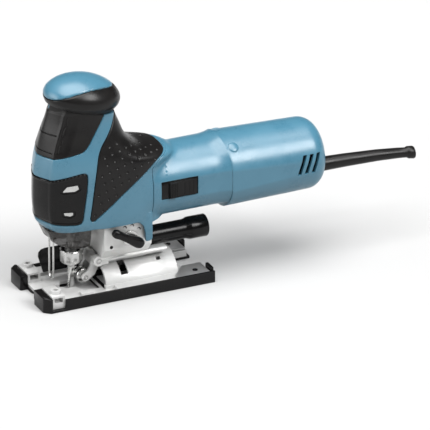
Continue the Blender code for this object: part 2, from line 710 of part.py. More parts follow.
def make_plunger(materials):
    axis = (PLUNGER_X, 0.0)
    origin = (PLUNGER_X, 0.0, SLEEVE_HIGH)
    rod = cylinder("plunger_rod", 2, axis, PLUNGER_RADIUS, SLEEVE_HIGH, 147.0)
    join(rod, box("yoke", (131.5, 138.0), (-16.5, 16.5), (YOKE_Z - 4.5, YOKE_Z + 4.5)))
    finish(rod, materials["steel"], origin)
    clamp = cylinder("blade_clamp", 2, axis, 5.5, 27.0, SLEEVE_HIGH - GAP)
    cut(clamp, box("slot", (PLUNGER_X - 3.8, PLUNGER_X + 3.8), (-1.1, 1.1), (20.0, 34.5)))
    finish(clamp, materials["grey"], origin)
    finish(make_blade(), materials["steel"], origin)
    step = ((SLEEVE_LOW, 8.4), (SLEEVE_LOW + 0.9, 9.3))
    wide = ((SLEEVE_LOW + 1.8, SLEEVE_RADIUS), (SLEEVE_HIGH, SLEEVE_RADIUS))
    sleeve = turned("clamp_sleeve", 2, axis, step + wide)
    cut(sleeve, cylinder("bore", 2, axis, 5.9, 20.0, 45.0))
    finish(sleeve, materials["steel"], (PLUNGER_X, 0.0, 32.0))


def make_blade():
    """A short blade whose teeth face forward and whose tip stays in the sole's slot."""
    back = PLUNGER_X - 3.0
    pitch = 2.4
    outline = [(back, 34.2), (back, 4.0), (back + 2.6, 1.0)]
    height = 2.0
    while height < 23.0:
        outline += [(back + 6.6, height), (back + 5.3, height + 0.7 * pitch)]
        height += pitch
    outline += [(back + 6.3, 25.0), (back + 6.3, 34.2)]
    return prism("saw_blade", 1, outline, -0.65, 0.65)


def make_roller(materials):
    """The back-up roller on its pin, in a forked retainer that the orbital action rocks."""
    pivot = (RETAINER_X, RETAINER_Z)
    fork = prism("roller_retainer", 1, RETAINER, -8.6, 8.6)
    cut(fork, box("gap_between_arms", (100.0, 140.0), (-5.4, 5.4), (0.0, 23.5)))
    cut(fork, cylinder("pivot_hole", 1, pivot, 2.3, -20.0, 20.0, 16))
    cut(fork, cylinder("pin_hole", 1, (ROLLER_X, ROLLER_Z), 1.8, -20.0, 20.0, 16))
    origin = (RETAINER_X, 0.0, RETAINER_Z)
    finish(fork, materials["aluminium"], origin)
    pin = cylinder("roller_pin", 1, (ROLLER_X, ROLLER_Z), 1.5, -9.4, 9.4, 16)
    finish(pin, materials["steel"], origin)
    finish(cylinder("retainer_pin", 1, pivot, 2.0, -17.2, 17.2, 16), materials["steel"])
    chamfer = ROLLER_RADIUS - 0.6
    profile = ((-4.8, chamfer), (-4.0, ROLLER_RADIUS), (4.0, ROLLER_RADIUS), (4.8, chamfer))
    roller = turned("guide_roller", 1, (ROLLER_X, ROLLER_Z), profile)
    cut(roller, cylinder("bore", 1, (ROLLER_X, ROLLER_Z), 1.8, -20.0, 20.0, 16))
    groove = tube("groove", 1, (ROLLER_X, ROLLER_Z), 9.0, ROLLER_RADIUS - 1.0, -1.1, 1.1)
    finish(cut(roller, groove), materials["steel"], (ROLLER_X, 0.0, ROLLER_Z))


def make_orbital_lever(materials):
    """A stub shaft in the foot with a disc and a black bar handle that points forward and up."""
    pivot = (HUB_X, HUB_Z)
    origin = (HUB_X, 0.0, HUB_Z)
    hub = turned("lever_hub", 1, pivot, ((14.0, 4.0), (24.29, 4.0), (24.3, 6.8), (26.2, 6.8)))
    finish(hub, materials["steel"], origin)
    direction = math.radians(30.0)
    along = (math.cos(direction), math.sin(direction))
    across = (-along[1], along[0])
    outline = []
    for start, radius, first, last in ((-6.0, 4.9, 90.0, 270.0), (17.5, 3.9, -90.0, 90.0)):
        for u, v in arc((start, 0.0), radius, first, last, 8):
            outline.append((HUB_X + u * along[0] + v * across[0], HUB_Z + u * along[1] + v * across[1]))
    finish(prism("orbital_lever", 1, outline, 26.5, 35.5), materials["black"], origin)


def make_release_lever(materials):
    """A thin upright plate on the right that swings outwards and opens the blade clamp."""
    plate = prism("release_lever", 1, RELEASE_PLATE, -19.8, -18.2)
    knuckle = cylinder("knuckle", 2, (RELEASE_X, RELEASE_Y), 3.1, 11.0, 33.6, 16)
    join(plate, knuckle)
    cut(plate, cylinder("bore", 2, (RELEASE_X, RELEASE_Y), 1.8, 0.0, 50.0, 12))
    finish(plate, materials["black"], (RELEASE_X, RELEASE_Y, 22.0))


def make_switch(materials):
    low = SWITCH_LOW
    high = SWITCH_HIGH
    bezel = box("switch_bezel", (34.8, 68.2), (27.9, 28.8), (low - 0.2, high + 0.2))
    finish(bezel, materials["black"])
    slider = box("switch_slider", (36.0, 61.5), (29.1, 30.4), (low + 0.6, high - 0.6))
    join(slider, box("ridge", (54.0, 61.0), (29.8, 32.2), (low + 0.9, high - 0.9)))
    finish(slider, materials["black"], (48.0, 29.8, 0.5 * (low + high)))
    finish(box("switch_body", (-83.5, -69.0), (-12.0, 12.0), (80.6, 94.6)), materials["carbon"])
    finish(box("speed_controller", (-66.0, -40.0), (-14.0, 14.0), (102.5, 108.0)), materials["carbon"])
    dial = prism("speed_dial", 2, toothed(18, 9.3, 8.8, 0.0, (-79.5, 0.0), (0.36, 0.26)), 95.4, 100.6)
    finish(dial, materials["black"], (-79.5, 0.0, 98.0))


def make_sole(materials):
    """The sole: a thin plate with side lips, front bumpers and rear hooks, all in one piece."""
    sole = box("sole_plate", (BASE_BACK, 173.5), (-BASE_HALF, BASE_HALF), (0.0, SOLE_TOP))
    for side in (1.0, -1.0):
        outer = sorted((side * 36.6, side * BASE_HALF))
        join(sole, box("lip", (BASE_BACK, 161.0), outer, (0.5, 10.5)))
        wide = sorted((side * 14.0, side * BASE_HALF))
        join(sole, box("bumper", (173.0, BASE_FRONT), wide, (0.0, 13.0)))
        hook = sorted((side * 24.0, side * 35.0))
        join(sole, box("hook", (BASE_BACK, 25.6), hook, (0.5, 12.6)))
        corner = [(BASE_FRONT + 2.0, side * 32.0), (BASE_FRONT + 2.0, side * 41.0), (172.0, side * 41.0)]
        cut(sole, prism("corner", 2, corner, -2.0, 20.0))
    cut(sole, prism("scallop", 2, circle((190.0, 0.0), 18.0, 32), -2.0, 5.0))
    finish(cut(sole, *base_openings()), materials["black"], (100.0, 0.0, 0.0))


def base_openings():
    """Cutters for what passes through the base: blade, roller, bolt and the notch behind."""
    left = [
        (118.5, 17.2), (133.6, 17.2), (136.4, 12.4), (138.5, 7.0), (147.0, 7.0), (149.0, 2.5), (167.0, 2.5),
    ]
    slot = left + [(x, -y) for x, y in reversed(left)]
    notch = [(10.0, 14.0), (44.0, 14.0), (49.0, 9.0)]
    notch += [(x, -y) for x, y in reversed(notch)]
    return (
        prism("blade_opening", 2, slot, -2.0, 30.0),
        box("bolt_opening", (60.0, 112.0), (-14.0, 14.0), (-2.0, 6.0)),
        prism("rear_notch", 2, notch, -2.0, 30.0),
    )


def make_shoe(materials):
    """The cast base: a flat flange, an arch that the foot rides on and blocks for a rip fence."""
    low = SOLE_TOP + GAP
    half = 36.2
    shoe = box("base_shoe", (BASE_BACK + 3.0, 172.6), (-half, half), (low, SHOE_TOP))
    join(shoe, cylinder("arch", 0, (0.0, 0.0), ARCH_RADIUS, 50.0, 116.2, 36))
    cut(shoe, box("under", (0.0, REACH), (-60.0, 60.0), (-60.0, low)))
    cut(shoe, cylinder("arch_hollow", 0, (0.0, 0.0), ARCH_RADIUS - ARCH_WALL, 53.0, 118.0, 36))
    cut(shoe, box("bowl", (117.5, 175.0), (-24.0, 24.0), (5.0, 20.0)))
    for side in (1.0, -1.0):
        cut(shoe, box("boss_room", (110.0, 129.0), sorted((side * 23.6, side * 33.5)), (5.0, 20.0)))
    for side in (1.0, -1.0):
        block = sorted((side * 15.0, side * half))
        join(shoe, box("block", (161.0, 172.6), block, (low, 14.0)))
        join(shoe, cylinder("boss", 2, (166.6, side * 29.0), 4.5, 12.0, 17.2, 20))
        cut(shoe, box("fence_window", (162.8, 170.6), sorted((side * 10.0, side * 45.0)), (7.4, 12.2)))
        cut(shoe, cylinder("fence_screw_hole", 2, (166.6, side * 29.0), 2.2, 9.0, 25.0, 16))
    join(shoe, box("lug", (133.0, 144.0), (27.5, 33.0), (5.0, 10.6)))
    slot = [(0.0, 0.0)] + arc((0.0, 0.0), 40.0, 36.0, 144.0, 12)
    cut(shoe, prism("tilt_slot", 0, slot, BOLT_X - 3.4, BOLT_X + 3.4))
    finish(cut(shoe, *base_openings()), materials["aluminium"], (100.0, 0.0, 0.0))
    wing = [(26.6, 15.5), (44.0, 15.5), (51.0, 24.0), (56.0, 30.0), (56.0, 35.8), (26.6, 35.8)]
    for side, word in ((1.0, "left"), (-1.0, "right")):
        outline = [(x, side * y) for x, y in wing]
        plate = prism(f"wing_plate_{word}", 2, outline, SHOE_TOP + GAP, SHOE_TOP + 1.8)
        finish(plate, materials["grey"], (100.0, 0.0, 0.0))


def make_base_clamp(materials):
    """Under the arch, a curved washer and a bolt into the foot hold the base at its angle."""
    outer = ARCH_RADIUS - ARCH_WALL - GAP
    outline = arc((0.0, 0.0), outer, 68.0, 112.0, 8) + arc((0.0, 0.0), outer - 2.2, 112.0, 68.0, 8)
    washer = prism("clamp_washer", 0, outline, BOLT_X - 9.0, BOLT_X + 9.0)
    cut(washer, cylinder("bolt_hole", 2, (BOLT_X, 0.0), 3.3, 10.0, 30.0, 16))
    finish(washer, materials["steel"])
    bolt = cylinder("base_bolt", 2, (BOLT_X, 0.0), 3.0, 15.0, 33.0, 16)
    join(bolt, cylinder("bolt_head", 2, (BOLT_X, 0.0), 5.2, 13.5, 17.4, 6))
    finish(bolt, materials["steel"])


def main():
    clear_scene()
    materials = make_materials()
    make_head_and_motor_housing(materials)
    make_pads(materials)
    make_rear_cover(materials)
    make_cord_guard(materials)
    make_knob(materials)
    make_gear_housing(materials)
    make_bushings_and_bearings(materials)
    make_dust_cover(materials)
    make_wire_guard(materials)
    make_dust_nozzle(materials)
    make_armature(materials)
    make_stator(materials)
    make_gear_train(materials)
    make_plunger(materials)
    make_roller(materials)
    make_orbital_lever(materials)
    make_release_lever(materials)
    make_switch(materials)
    make_sole(materials)
    make_shoe(materials)
    make_base_clamp(materials)


main()
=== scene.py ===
"""Looks for the barrel-grip jigsaw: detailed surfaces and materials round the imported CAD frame.

Lengths are in millimetres until a mesh, a modifier or a material takes them.
+X points to the blade and +Y is the tool's left.
"""

import json
import math

import bmesh
import bpy
import numpy as np
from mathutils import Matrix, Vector
from mathutils.bvhtree import BVHTree

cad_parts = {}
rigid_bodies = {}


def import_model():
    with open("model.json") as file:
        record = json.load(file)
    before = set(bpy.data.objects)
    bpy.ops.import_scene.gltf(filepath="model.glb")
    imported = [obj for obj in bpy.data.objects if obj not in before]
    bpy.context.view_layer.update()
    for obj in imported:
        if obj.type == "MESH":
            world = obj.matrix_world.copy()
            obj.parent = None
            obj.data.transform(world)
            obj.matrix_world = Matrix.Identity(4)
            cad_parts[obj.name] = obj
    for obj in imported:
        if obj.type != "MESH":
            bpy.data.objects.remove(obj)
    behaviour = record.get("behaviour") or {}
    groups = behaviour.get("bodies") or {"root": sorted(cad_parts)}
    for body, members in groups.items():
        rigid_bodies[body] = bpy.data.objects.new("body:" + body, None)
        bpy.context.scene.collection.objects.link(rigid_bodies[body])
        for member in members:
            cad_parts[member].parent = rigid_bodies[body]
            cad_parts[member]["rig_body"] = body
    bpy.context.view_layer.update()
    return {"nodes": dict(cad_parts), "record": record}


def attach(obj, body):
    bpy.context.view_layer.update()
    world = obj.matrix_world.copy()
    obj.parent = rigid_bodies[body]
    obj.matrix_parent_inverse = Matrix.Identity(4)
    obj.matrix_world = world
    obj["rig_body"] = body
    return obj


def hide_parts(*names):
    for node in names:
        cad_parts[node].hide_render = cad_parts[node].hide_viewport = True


MM = 0.001
GAP = 0.3
REACH = 200.0  # how far a cutter runs past the tool

# Driving sizes, the same as the CAD's
WALL = 3.2
PAD_PROUD = 0.3
PAD_DEPTH = 1.3
HEAD_BACK = 76.0
SEAM_TOP = 53.0
MOTOR_Z = 88.0
BARREL_RADIUS = 30.8
BARREL_FLAT = 29.5
COVER_END = -88.0
COVER_WIDEST = 13.0
COVER_RADIUS = 33.2
COVER_TAPER = 2.4
COVER_FLAT = 31.6
COVER_FLAT_TAPER = 0.8
COVER_Z = 87.0
COVER_ROUNDING = 14.0
REAR_SEAM_X = 3.4
REAR_SEAM_SWEEP = 2.6
KNOB_CENTRE = (129.0, 178.7)
KNOB_TILT = math.radians(10.4)
PLUNGER_X = 139.3
NOZZLE_Z = 36.0
HUB = (95.8, 50.1)
SWITCH_LOW = 81.5
SWITCH_HIGH = 97.0

# Mesh fineness and soft edges
VOXEL = 0.6
WELD_REACH = 0.002
SKIN_REACH = 0.06  # how far off a form a vertex may lie and still count as on it
SHELL_SOFTNESS = 0.8
SEAM_SOFTNESS = 0.5
PAD_SOFTNESS = 0.9
CAP_SOFTNESS = 0.9
KNOB_SOFTNESS = 0.6
PLAIN_BEVEL = 0.3
BEVELS = {"sole_plate": 0.9, "gear_housing": 0.5, "release_lever": 0.5}

# Head sections: height, nose, ridge, ridge half width, widest place, half width, back
HEAD = (
    (63.5, 164.6, 159.8, 15.2, 104, 29.6, 58),
    (67.0, 168.6, 163.4, 16.4, 104, 30.4, 58),
    (72.0, 172.0, 166.2, 17.3, 104, 31.0, 58),
    (90.0, 174.0, 167.7, 17.6, 104, 31.6, 58),
    (110.0, 173.8, 167.4, 17.6, 104, 31.4, 58),
    (117.6, 173.0, 166.7, 17.6, 104, 30.9, 47),
    (122.2, 172.4, 166.2, 17.5, 105, 30.3, 54),
    (126.8, 171.6, 165.5, 17.2, 107, 29.4, 77),
    (130.6, 170.9, 164.8, 17.0, 110, 28.4, 84),
    (135.4, 169.9, 163.6, 16.6, 114, 27.0, 88.8),
    (142.2, 168.4, 161.6, 16.0, 119, 25.2, 93.8),
    (152.0, 165.8, 158.4, 15.3, 125, 23.2, 97.6),
    (162.0, 162.6, 154.7, 14.3, 129, 21.7, 101.6),
    (177.0, 158.5, 150.8, 13.5, 131, 20.8, 105.0),
)
NOSE_POWER = 1.45
BACK_POWER = 2.4

# Knob rings: height along its own axis, half length, half width
KNOB = (
    (-15.5, 29.2, 21.2),
    (-12.5, 29.4, 21.4),
    (-9.5, 30.0, 22.2),
    (-6.5, 31.8, 24.4),
    (-3.0, 33.5, 26.5),
    (0.5, 34.0, 27.0),
    (4.0, 33.0, 26.1),
    (8.0, 30.0, 23.6),
    (12.0, 25.0, 19.6),
    (15.0, 19.0, 15.0),
    (17.2, 12.0, 9.6),
    (18.5, 4.0, 3.2),
    (18.65, 0.6, 0.5),
)

# Side outlines (x, z)
NECK = ((99.0, 161.5), (160.0, 176.8))
BACK_SEAM = (
    (HEAD_BACK, 40.0), (HEAD_BACK, 111.0), (67.5, 118.8), (60.5, 121.2), (55.6, 123.0), (53.5, 126.2),
    (SEAM_TOP, 150.0),
)
HEAD_BOTTOM = ((185.0, 63.2), (150.0, 64.3), (128.0, 65.3), (119.0, 64.5))
FRONT_GRIP = (
    (190.0, 131.0), (167.0, 132.2), (151.0, 134.4), (138.0, 137.2), (133.5, 141.5), (127.0, 151.5),
    (112.0, 172.0), (190.0, 198.0),
)
VENT_PANEL = (
    (190.0, 112.0), (168.0, 113.8), (152.7, 117.0), (141.0, 119.2), (137.2, 118.8), (136.0, 115.6),
    (137.0, 101.5), (139.4, 84.5), (140.4, 75.5), (142.0, 72.8), (145.0, 71.8), (153.0, 71.9),
    (168.0, 73.4), (190.0, 74.0),
)
PALM_GRIP = (
    (104.0, 163.0), (113.5, 150.3), (122.5, 139.2), (126.0, 131.5), (129.4, 113.7), (134.4, 76.0),
    (133.2, 73.6), (130.6, 73.4), (117.4, 83.8), (103.3, 95.6), (88.5, 105.8), (81.4, 110.6),
    (70.8, 118.8), (64.0, 121.4), (58.2, 123.4), (56.4, 126.6), (56.4, 165.0), (85.0, 175.0),
)
CAP_EDGE = (
    (172.0, 177.0), (162.0, 182.5), (152.0, 186.5), (144.0, 188.7), (136.0, 189.9), (129.0, 190.3),
    (122.0, 189.9), (114.0, 188.7), (106.0, 186.5), (98.0, 183.4), (90.0, 179.4), (85.0, 176.4),
)
LEG = (
    (76.3, 72.0), (76.3, 47.0), (78.0, 45.3), (82.5, 45.3), (83.0, 54.0), (84.4, 59.5),
    (87.6, 63.1), (92.0, 64.5), (92.0, 72.0),
)

# Surface details: places and outlines are (x, z) seen from the side
FRONT_CORNER = 7.0
VENT_CORNER = 4.0
PALM_CORNER = 9.0
BLOCK_JOINTS = (152.0, 137.2)
JOINT_DEPTH = 0.75
JOINT_HALF = 0.55
TOP_STEP = 0.6
HOLLOW_DEPTH = 0.95
HOLLOW_BACK = ((130.0, 155.5), (148.2, 147.9), (155.8, 144.9), (163.2, 142.5), (175.0, 140.0))
GRIP_RIBS = (
    ((149.5, 167.3), (150.2, 162.3)), ((152.3, 159.1), (154.7, 153.1)),
    ((154.9, 148.4), (155.2, 146.6)), ((158.0, 143.9), (159.4, 138.6)),
)
RIB_HEIGHT = 0.8
RIB_HALF = 0.6
VENT_RIM = (1.9, 2.8)
VENT_SINK = 0.45
DIMPLE_START = (115.0, 69.4)
DIMPLE_STEPS = ((-1.77, -6.04), (-6.89, 1.76))
DIMPLE_CLEAR = (2.5, 2.6, 23.0)  # of the middle plane, the grip's edge and the knob
DIMPLE_RADIUS = 1.35
DIMPLE_DEPTH = 0.75
LAMP_WINDOWS = (
    ((160.5, 103.6), (155.0, 110.2), (143.6, 111.2), (141.8, 104.6), (147.0, 101.8), (157.5, 101.8)),
    ((159.2, 86.6), (147.4, 86.4), (146.9, 81.2), (151.0, 79.0), (157.8, 80.6)),
)
WINDOW_CORNER = 1.6
WINDOW_DEPTH = 0.85
LENS_INSET = 2.0
LENS_CORNER = 0.6
LENS_TOP = 0.35
LENS_BOTTOM = 0.95
FLARE_LENGTH = 13.0
FLARE_HEIGHT = 1.9
COVER_VENT_X = -63.0
COVER_VENT_STEP = 6.4
BOSS = (-2.2, 86.8)
BOSS_REACH = 32.5
BOSS_TURN = math.radians(53.0)

# Dust cover sections: height, front, half width
DUST_COVER = ((42.4, 146.0, 12.0), (47.0, 154.5, 13.2), (52.0, 160.6, 14.3), (62.8, 165.2, 15.6))
DUST_COVER_WALL = 1.6

# Clamp sleeve rings: height, radius, how far its facets show; then its facets and bore
SLEEVE = (
    (26.0, 8.0, 0.0), (26.5, 8.7, 0.0), (27.3, 8.9, 0.0), (27.5, 9.4, 0.6), (28.1, 9.75, 1.0),
    (36.9, 9.75, 1.0), (37.6, 9.5, 0.5), (38.0, 9.1, 0.0),
)
SLEEVE_FACETS = 10
SLEEVE_BORE = 5.9

# Orbital lever rings: distance along it from the hub, half height, half depth
LEVER = (
    (-10.9, 0.6, 0.8), (-10.5, 2.2, 2.4), (-9.3, 3.6, 3.6), (-7.0, 4.6, 4.3), (-4.5, 4.85, 4.5),
    (1.0, 4.2, 4.4), (7.0, 3.5, 4.2), (13.0, 3.35, 4.1), (17.0, 3.8, 4.1), (19.6, 3.3, 3.4),
    (20.9, 2.0, 2.2), (21.4, 0.5, 0.7),
)
LEVER_TURN = math.radians(30.0)
LEVER_Y = 31.0
LEVER_BLUNTNESS = 0.75
MARK_REACH = 10.4
MARK_TURNS = (65.0, 103.0, 145.0)
PLUG = (112.6, 43.7)
LAST_MARK = (86.9, 46.3)

# Cord guard rings: x, height, radius
GUARD = (
    (-76.0, 71.8, 8.2), (-79.0, 71.8, 8.2), (-79.01, 71.8, 6.3), (-92.0, 71.7, 6.3),
    (-115.0, 71.2, 5.8), (-145.0, 69.9, 5.1), (-165.0, 68.2, 4.6), (-172.5, 67.3, 4.4),
    (-173.6, 67.15, 4.9), (-174.5, 67.0, 5.4), (-179.0, 66.35, 5.6), (-180.0, 66.2, 5.2),
)

# Dust nozzle profiles: x, radius
NOZZLE = (
    (83.0, 6.5), (75.2, 6.5), (75.1, 7.9), (74.6, 8.4), (36.0, 8.4), (34.4, 8.5), (31.4, 9.6),
    (30.4, 9.7), (15.6, 9.7), (15.0, 9.2),
)
NOZZLE_BORE = ((85.0, 5.0), (71.0, 5.0), (65.0, 6.9), (34.0, 6.9), (31.0, 8.2), (13.0, 8.4))

# Rubbed edges, and on the smoked cover a painted highlight along its edges: how far in from an edge, and how
# large the patches are
WEAR_AND_GLINT_REACH = 0.5
WEAR_AND_GLINT_PATCH = 3.0

# Lights: name, direction towards it, angle across, strength
LIGHTS = (
    ("key", (-0.42, 0.62, 0.66), 28.0, 2.7),
    ("overhead", (0.05, 0.10, 1.0), 60.0, 5.4),
    ("front", (0.96, -0.10, 0.25), 44.0, 1.9),
)
WORLD_LIGHT = 0.05
FLOOR_HALF = 6000.0

# Camera
VIEW_AZIMUTH = math.radians(155.5)
VIEW_ELEVATION = math.radians(25.1)
VIEW_TARGET = (5.7, 0.0, 43.0)
VIEW_DISTANCE = 12000.0
SENSOR = 36.0
VIEW_WIDTH = 364.4  # of the frame, at the target


# ---------------- meshes


def solid(name, points, faces):
    """A mesh object from points in millimetres, with its faces turned outwards."""
    mesh = bpy.data.meshes.new(name)
    mesh.from_pydata([tuple(MM * value for value in point) for point in points], [], faces)
    work = bmesh.new()
    work.from_mesh(mesh)
    bmesh.ops.recalc_face_normals(work, faces=work.faces)
    work.to_mesh(mesh)
    work.free()
    made = bpy.data.objects.new(name, mesh)
    bpy.context.scene.collection.objects.link(made)
    return made


def loft(name, rings):
    """A closed solid through rings that have the same number of points."""
    count = len(rings[0])
    points = [point for ring in rings for point in ring]
    faces = []
    for start in range(0, len(points) - count, count):
        for i in range(count):
            j = (i + 1) % count
            faces.append((start + i, start + j, start + count + j, start + count + i))
    faces.append(tuple(reversed(range(count))))
    faces.append(tuple(range(len(points) - count, len(points))))
    return solid(name, points, faces)


def placed(axis, along, pair):
    """The point at a distance along an axis (0, 1 or 2), with the other two coordinates from a pair."""
    point = list(pair)
    point.insert(axis, along)
    return tuple(point)


def prism(name, axis, outline, low, high):
    return loft(name, [[placed(axis, along, pair) for pair in outline] for along in (low, high)])


def box(name, x, y, z):
    return prism(name, 2, [(x[0], y[0]), (x[1], y[0]), (x[1], y[1]), (x[0], y[1])], z[0], z[1])


def arc(centre, radius, start, end, steps):
    """Points along an arc, with its angles in degrees."""
    points = []
    for step in range(steps + 1):
        angle = math.radians(start + (end - start) * step / steps)
        points.append((centre[0] + radius * math.cos(angle), centre[1] + radius * math.sin(angle)))
    return points


def circle(centre, radius, count):
    return arc(centre, radius, 0.0, 360.0, count)[:-1]


def cylinder(name, axis, centre, radius, low, high, count=48):
    return prism(name, axis, circle(centre, radius, count), low, high)


def turned(name, axis, centre, profile, count=64):
    """A solid turned about an axis, from a profile of distances along it and radii."""
    rings = []
    for along, radius in profile:
        rings.append([placed(axis, along, pair) for pair in circle(centre, radius, count)])
    return loft(name, rings)


def applied(item):
    """The item with its modifiers made part of its mesh."""
    depsgraph = bpy.context.evaluated_depsgraph_get()
    mesh = bpy.data.meshes.new_from_object(item.evaluated_get(depsgraph))
    item.modifiers.clear()
    item.data = mesh
    return item


def combine(target, other, operation):
    """The target after a Boolean with another item, which is used up."""
    modifier = target.modifiers.new(operation.lower(), "BOOLEAN")
    modifier.operation = operation
    modifier.object = other
    modifier.solver = "MANIFOLD"
    applied(target)
    bpy.data.objects.remove(other)
    return target


def cut(target, *cutters):
    for cutter in cutters:
        combine(target, cutter, "DIFFERENCE")
    return target


def join(target, *others):
    for other in others:
        combine(target, other, "UNION")
    return target


def keep(target, region):
    return combine(target, region, "INTERSECT")


def copied(source, name):
    made = bpy.data.objects.new(name, source.data.copy())
    bpy.context.scene.collection.objects.link(made)
    return made


def cad_copy(node, name):
    """A copy of a CAD node's mesh to add detail to, with its seams welded."""
    made = copied(NODES[node], name)
    made.modifiers.new("weld", "WELD").merge_threshold = WELD_REACH * MM
    return applied(made)


def mirrored(source, name):
    """A copy of a piece on the other side of the tool's middle plane."""
    made = copied(source, name)
    work = bmesh.new()
    work.from_mesh(made.data)
    for vertex in work.verts:
        vertex.co.y = -vertex.co.y
    bmesh.ops.reverse_faces(work, faces=work.faces)
    work.to_mesh(made.data)
    work.free()
    return made


def places_of(item):
    """The item's vertices in millimetres, as rows of an array."""
    values = np.empty(len(item.data.vertices) * 3)
    item.data.vertices.foreach_get("co", values)
    return values.reshape(-1, 3) / MM


def set_places(item, places):
    item.data.vertices.foreach_set("co", (places * MM).ravel())
    item.data.update()


def normals_of(item):
    values = np.empty(len(item.data.vertices) * 3, np.float32)
    item.data.vertex_normals.foreach_get("vector", values)
    return values.reshape(-1, 3).astype(float)


def remeshed(item, voxel):
    modifier = item.modifiers.new("remesh", "REMESH")
    modifier.mode = "VOXEL"
    modifier.voxel_size = voxel * MM
    return applied(item)


def relax(item, rounds, weight_at):
    """Smooth a dense mesh, by a weight that depends on each vertex's place."""
    places = places_of(item)
    count = len(places)
    ends = np.empty(len(item.data.edges) * 2, np.int64)
    item.data.edges.foreach_get("vertices", ends)
    first, second = ends.reshape(-1, 2).T
    degree = np.bincount(first, minlength=count) + np.bincount(second, minlength=count)
    weight = weight_at(places)[:, None]
    for _ in range(rounds):
        total = np.empty_like(places)
        for axis in range(3):
            total[:, axis] = np.bincount(first, places[second, axis], count)
            total[:, axis] += np.bincount(second, places[first, axis], count)
        places += weight * (total / degree[:, None] - places)
    set_places(item, places)


def grown(source, name, distance):
    """A copy of a dense form moved outwards along its normals."""
    made = copied(source, name)
    set_places(made, places_of(made) + distance * normals_of(made))
    return made


def smooth_step(values, low, high):
    share = np.clip((values - low) / (high - low), 0.0, 1.0)
    return share * share * (3.0 - 2.0 * share)


def outline_distance(places, outline):
    """How far each place's (x, z) is from a closed side outline."""
    flat = places[:, (0, 2)]
    nearest = np.full(len(flat), np.inf)
    for start, end in zip(outline, outline[1:] + outline[:1]):
        start = np.array(start)
        along = np.array(end) - start
        share = np.clip((flat - start) @ along / max(along @ along, 1e-12), 0.0, 1.0)
        gap = flat - start - share[:, None] * along
        nearest = np.minimum(nearest, np.sqrt((gap * gap).sum(1)))
    return nearest


def press(piece, form, depth_at):
    """Push what lies on a form inwards, by a depth that depends on the place."""
    tree = BVHTree.FromObject(form, bpy.context.evaluated_depsgraph_get())
    places = places_of(piece)
    depth = depth_at(places)
    for index in np.nonzero(np.abs(depth) > 0.001)[0]:
        _, normal, _, gap = tree.find_nearest(Vector(places[index]) * MM)
        if gap is not None and gap < SKIN_REACH * MM:
            places[index] -= depth[index] * np.array(normal)
    set_places(piece, places)


def edge_drop(places, outlines, radius):
    """How far a rounded edge falls below the surface, near side outlines."""
    distance = np.full(len(places), radius)
    for outline in outlines:
        distance = np.minimum(distance, outline_distance(places, outline))
    return radius - np.sqrt(radius * radius - (radius - distance) ** 2)


def soften(piece, form, outlines, radius):
    """Round the edges that side outlines cut in a form's surface."""
    press(piece, form, lambda places: edge_drop(places, outlines, radius))


def refined(piece, wanted_at, times=1):
    """Split a mesh's edges where both their ends are wanted."""
    for _ in range(times):
        wanted = wanted_at(places_of(piece))
        work = bmesh.new()
        work.from_mesh(piece.data)
        edges = [edge for edge in work.edges if all(wanted[vertex.index] for vertex in edge.verts)]
        bmesh.ops.subdivide_edges(work, edges=edges, cuts=1, use_grid_fill=True)
        work.to_mesh(piece.data)
        work.free()


def inside_outline(x, z, outline):
    inside = False
    for (ax, az), (bx, bz) in zip(outline, outline[1:] + outline[:1]):
        if (az > z) != (bz > z) and x < ax + (z - az) * (bx - ax) / (bz - az):
            inside = not inside
    return inside


def rounded(outline, radius, steps=5):
    """The outline with its corners rounded by about a radius."""
    points = []
    count = len(outline)
    for i in range(count):
        before = Vector(outline[i - 1])
        here = Vector(outline[i])
        after = Vector(outline[(i + 1) % count])
        back = before - here
        on = after - here
        reach = min(radius, 0.48 * back.length, 0.48 * on.length)
        start = here + back.normalized() * reach
        end = here + on.normalized() * reach
        for step in range(steps + 1):
            t = step / steps
            points.append(tuple(start * (1 - t) ** 2 + here * (2 * t * (1 - t)) + end * t * t))
    return points


def inset(outline, distance):
    """The outline with every edge moved inwards by a distance."""
    area = 0.0
    for (ax, ay), (bx, by) in zip(outline, outline[1:] + outline[:1]):
        area += ax * by - bx * ay
    side = math.copysign(distance, area)
    moved = []
    count = len(outline)
    for i in range(count):
        before = Vector(outline[i - 1])
        here = Vector(outline[i])
        after = Vector(outline[(i + 1) % count])
        first = (here - before).normalized()
        second = (after - here).normalized()
        normal_one = Vector((-first.y, first.x))
        normal_two = Vector((-second.y, second.x))
        mitre = (normal_one + normal_two).normalized()
        moved.append(tuple(here + mitre * (side / max(0.3, mitre.dot(normal_one)))))
    return moved


def shaded(piece, sharp=32.0):
    """Smooth shading between faces that meet at less than an angle."""
    piece.data.shade_smooth()
    piece.data.set_sharp_from_angle(angle=math.radians(sharp))


def bevelled(piece, width, segments=2, angle=40.0):
    modifier = piece.modifiers.new("bevel", "BEVEL")
    modifier.width = width * MM
    modifier.segments = segments
    modifier.limit_method = "ANGLE"
    modifier.angle_limit = math.radians(angle)
    modifier.harden_normals = False
    return piece


def shown(piece, node, paint, slot, sharp=32.0, replaces=True, material=None):
    """Put a finished piece on the body of a CAD node, in place of that node or beside it."""
    piece.data.materials.clear()
    piece.data.materials.append(paint[material or slot])
    shaded(piece, sharp)
    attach(piece, NODE_BODY[node])
    if replaces:
        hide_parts(node)
    return piece


# ---------------- forms


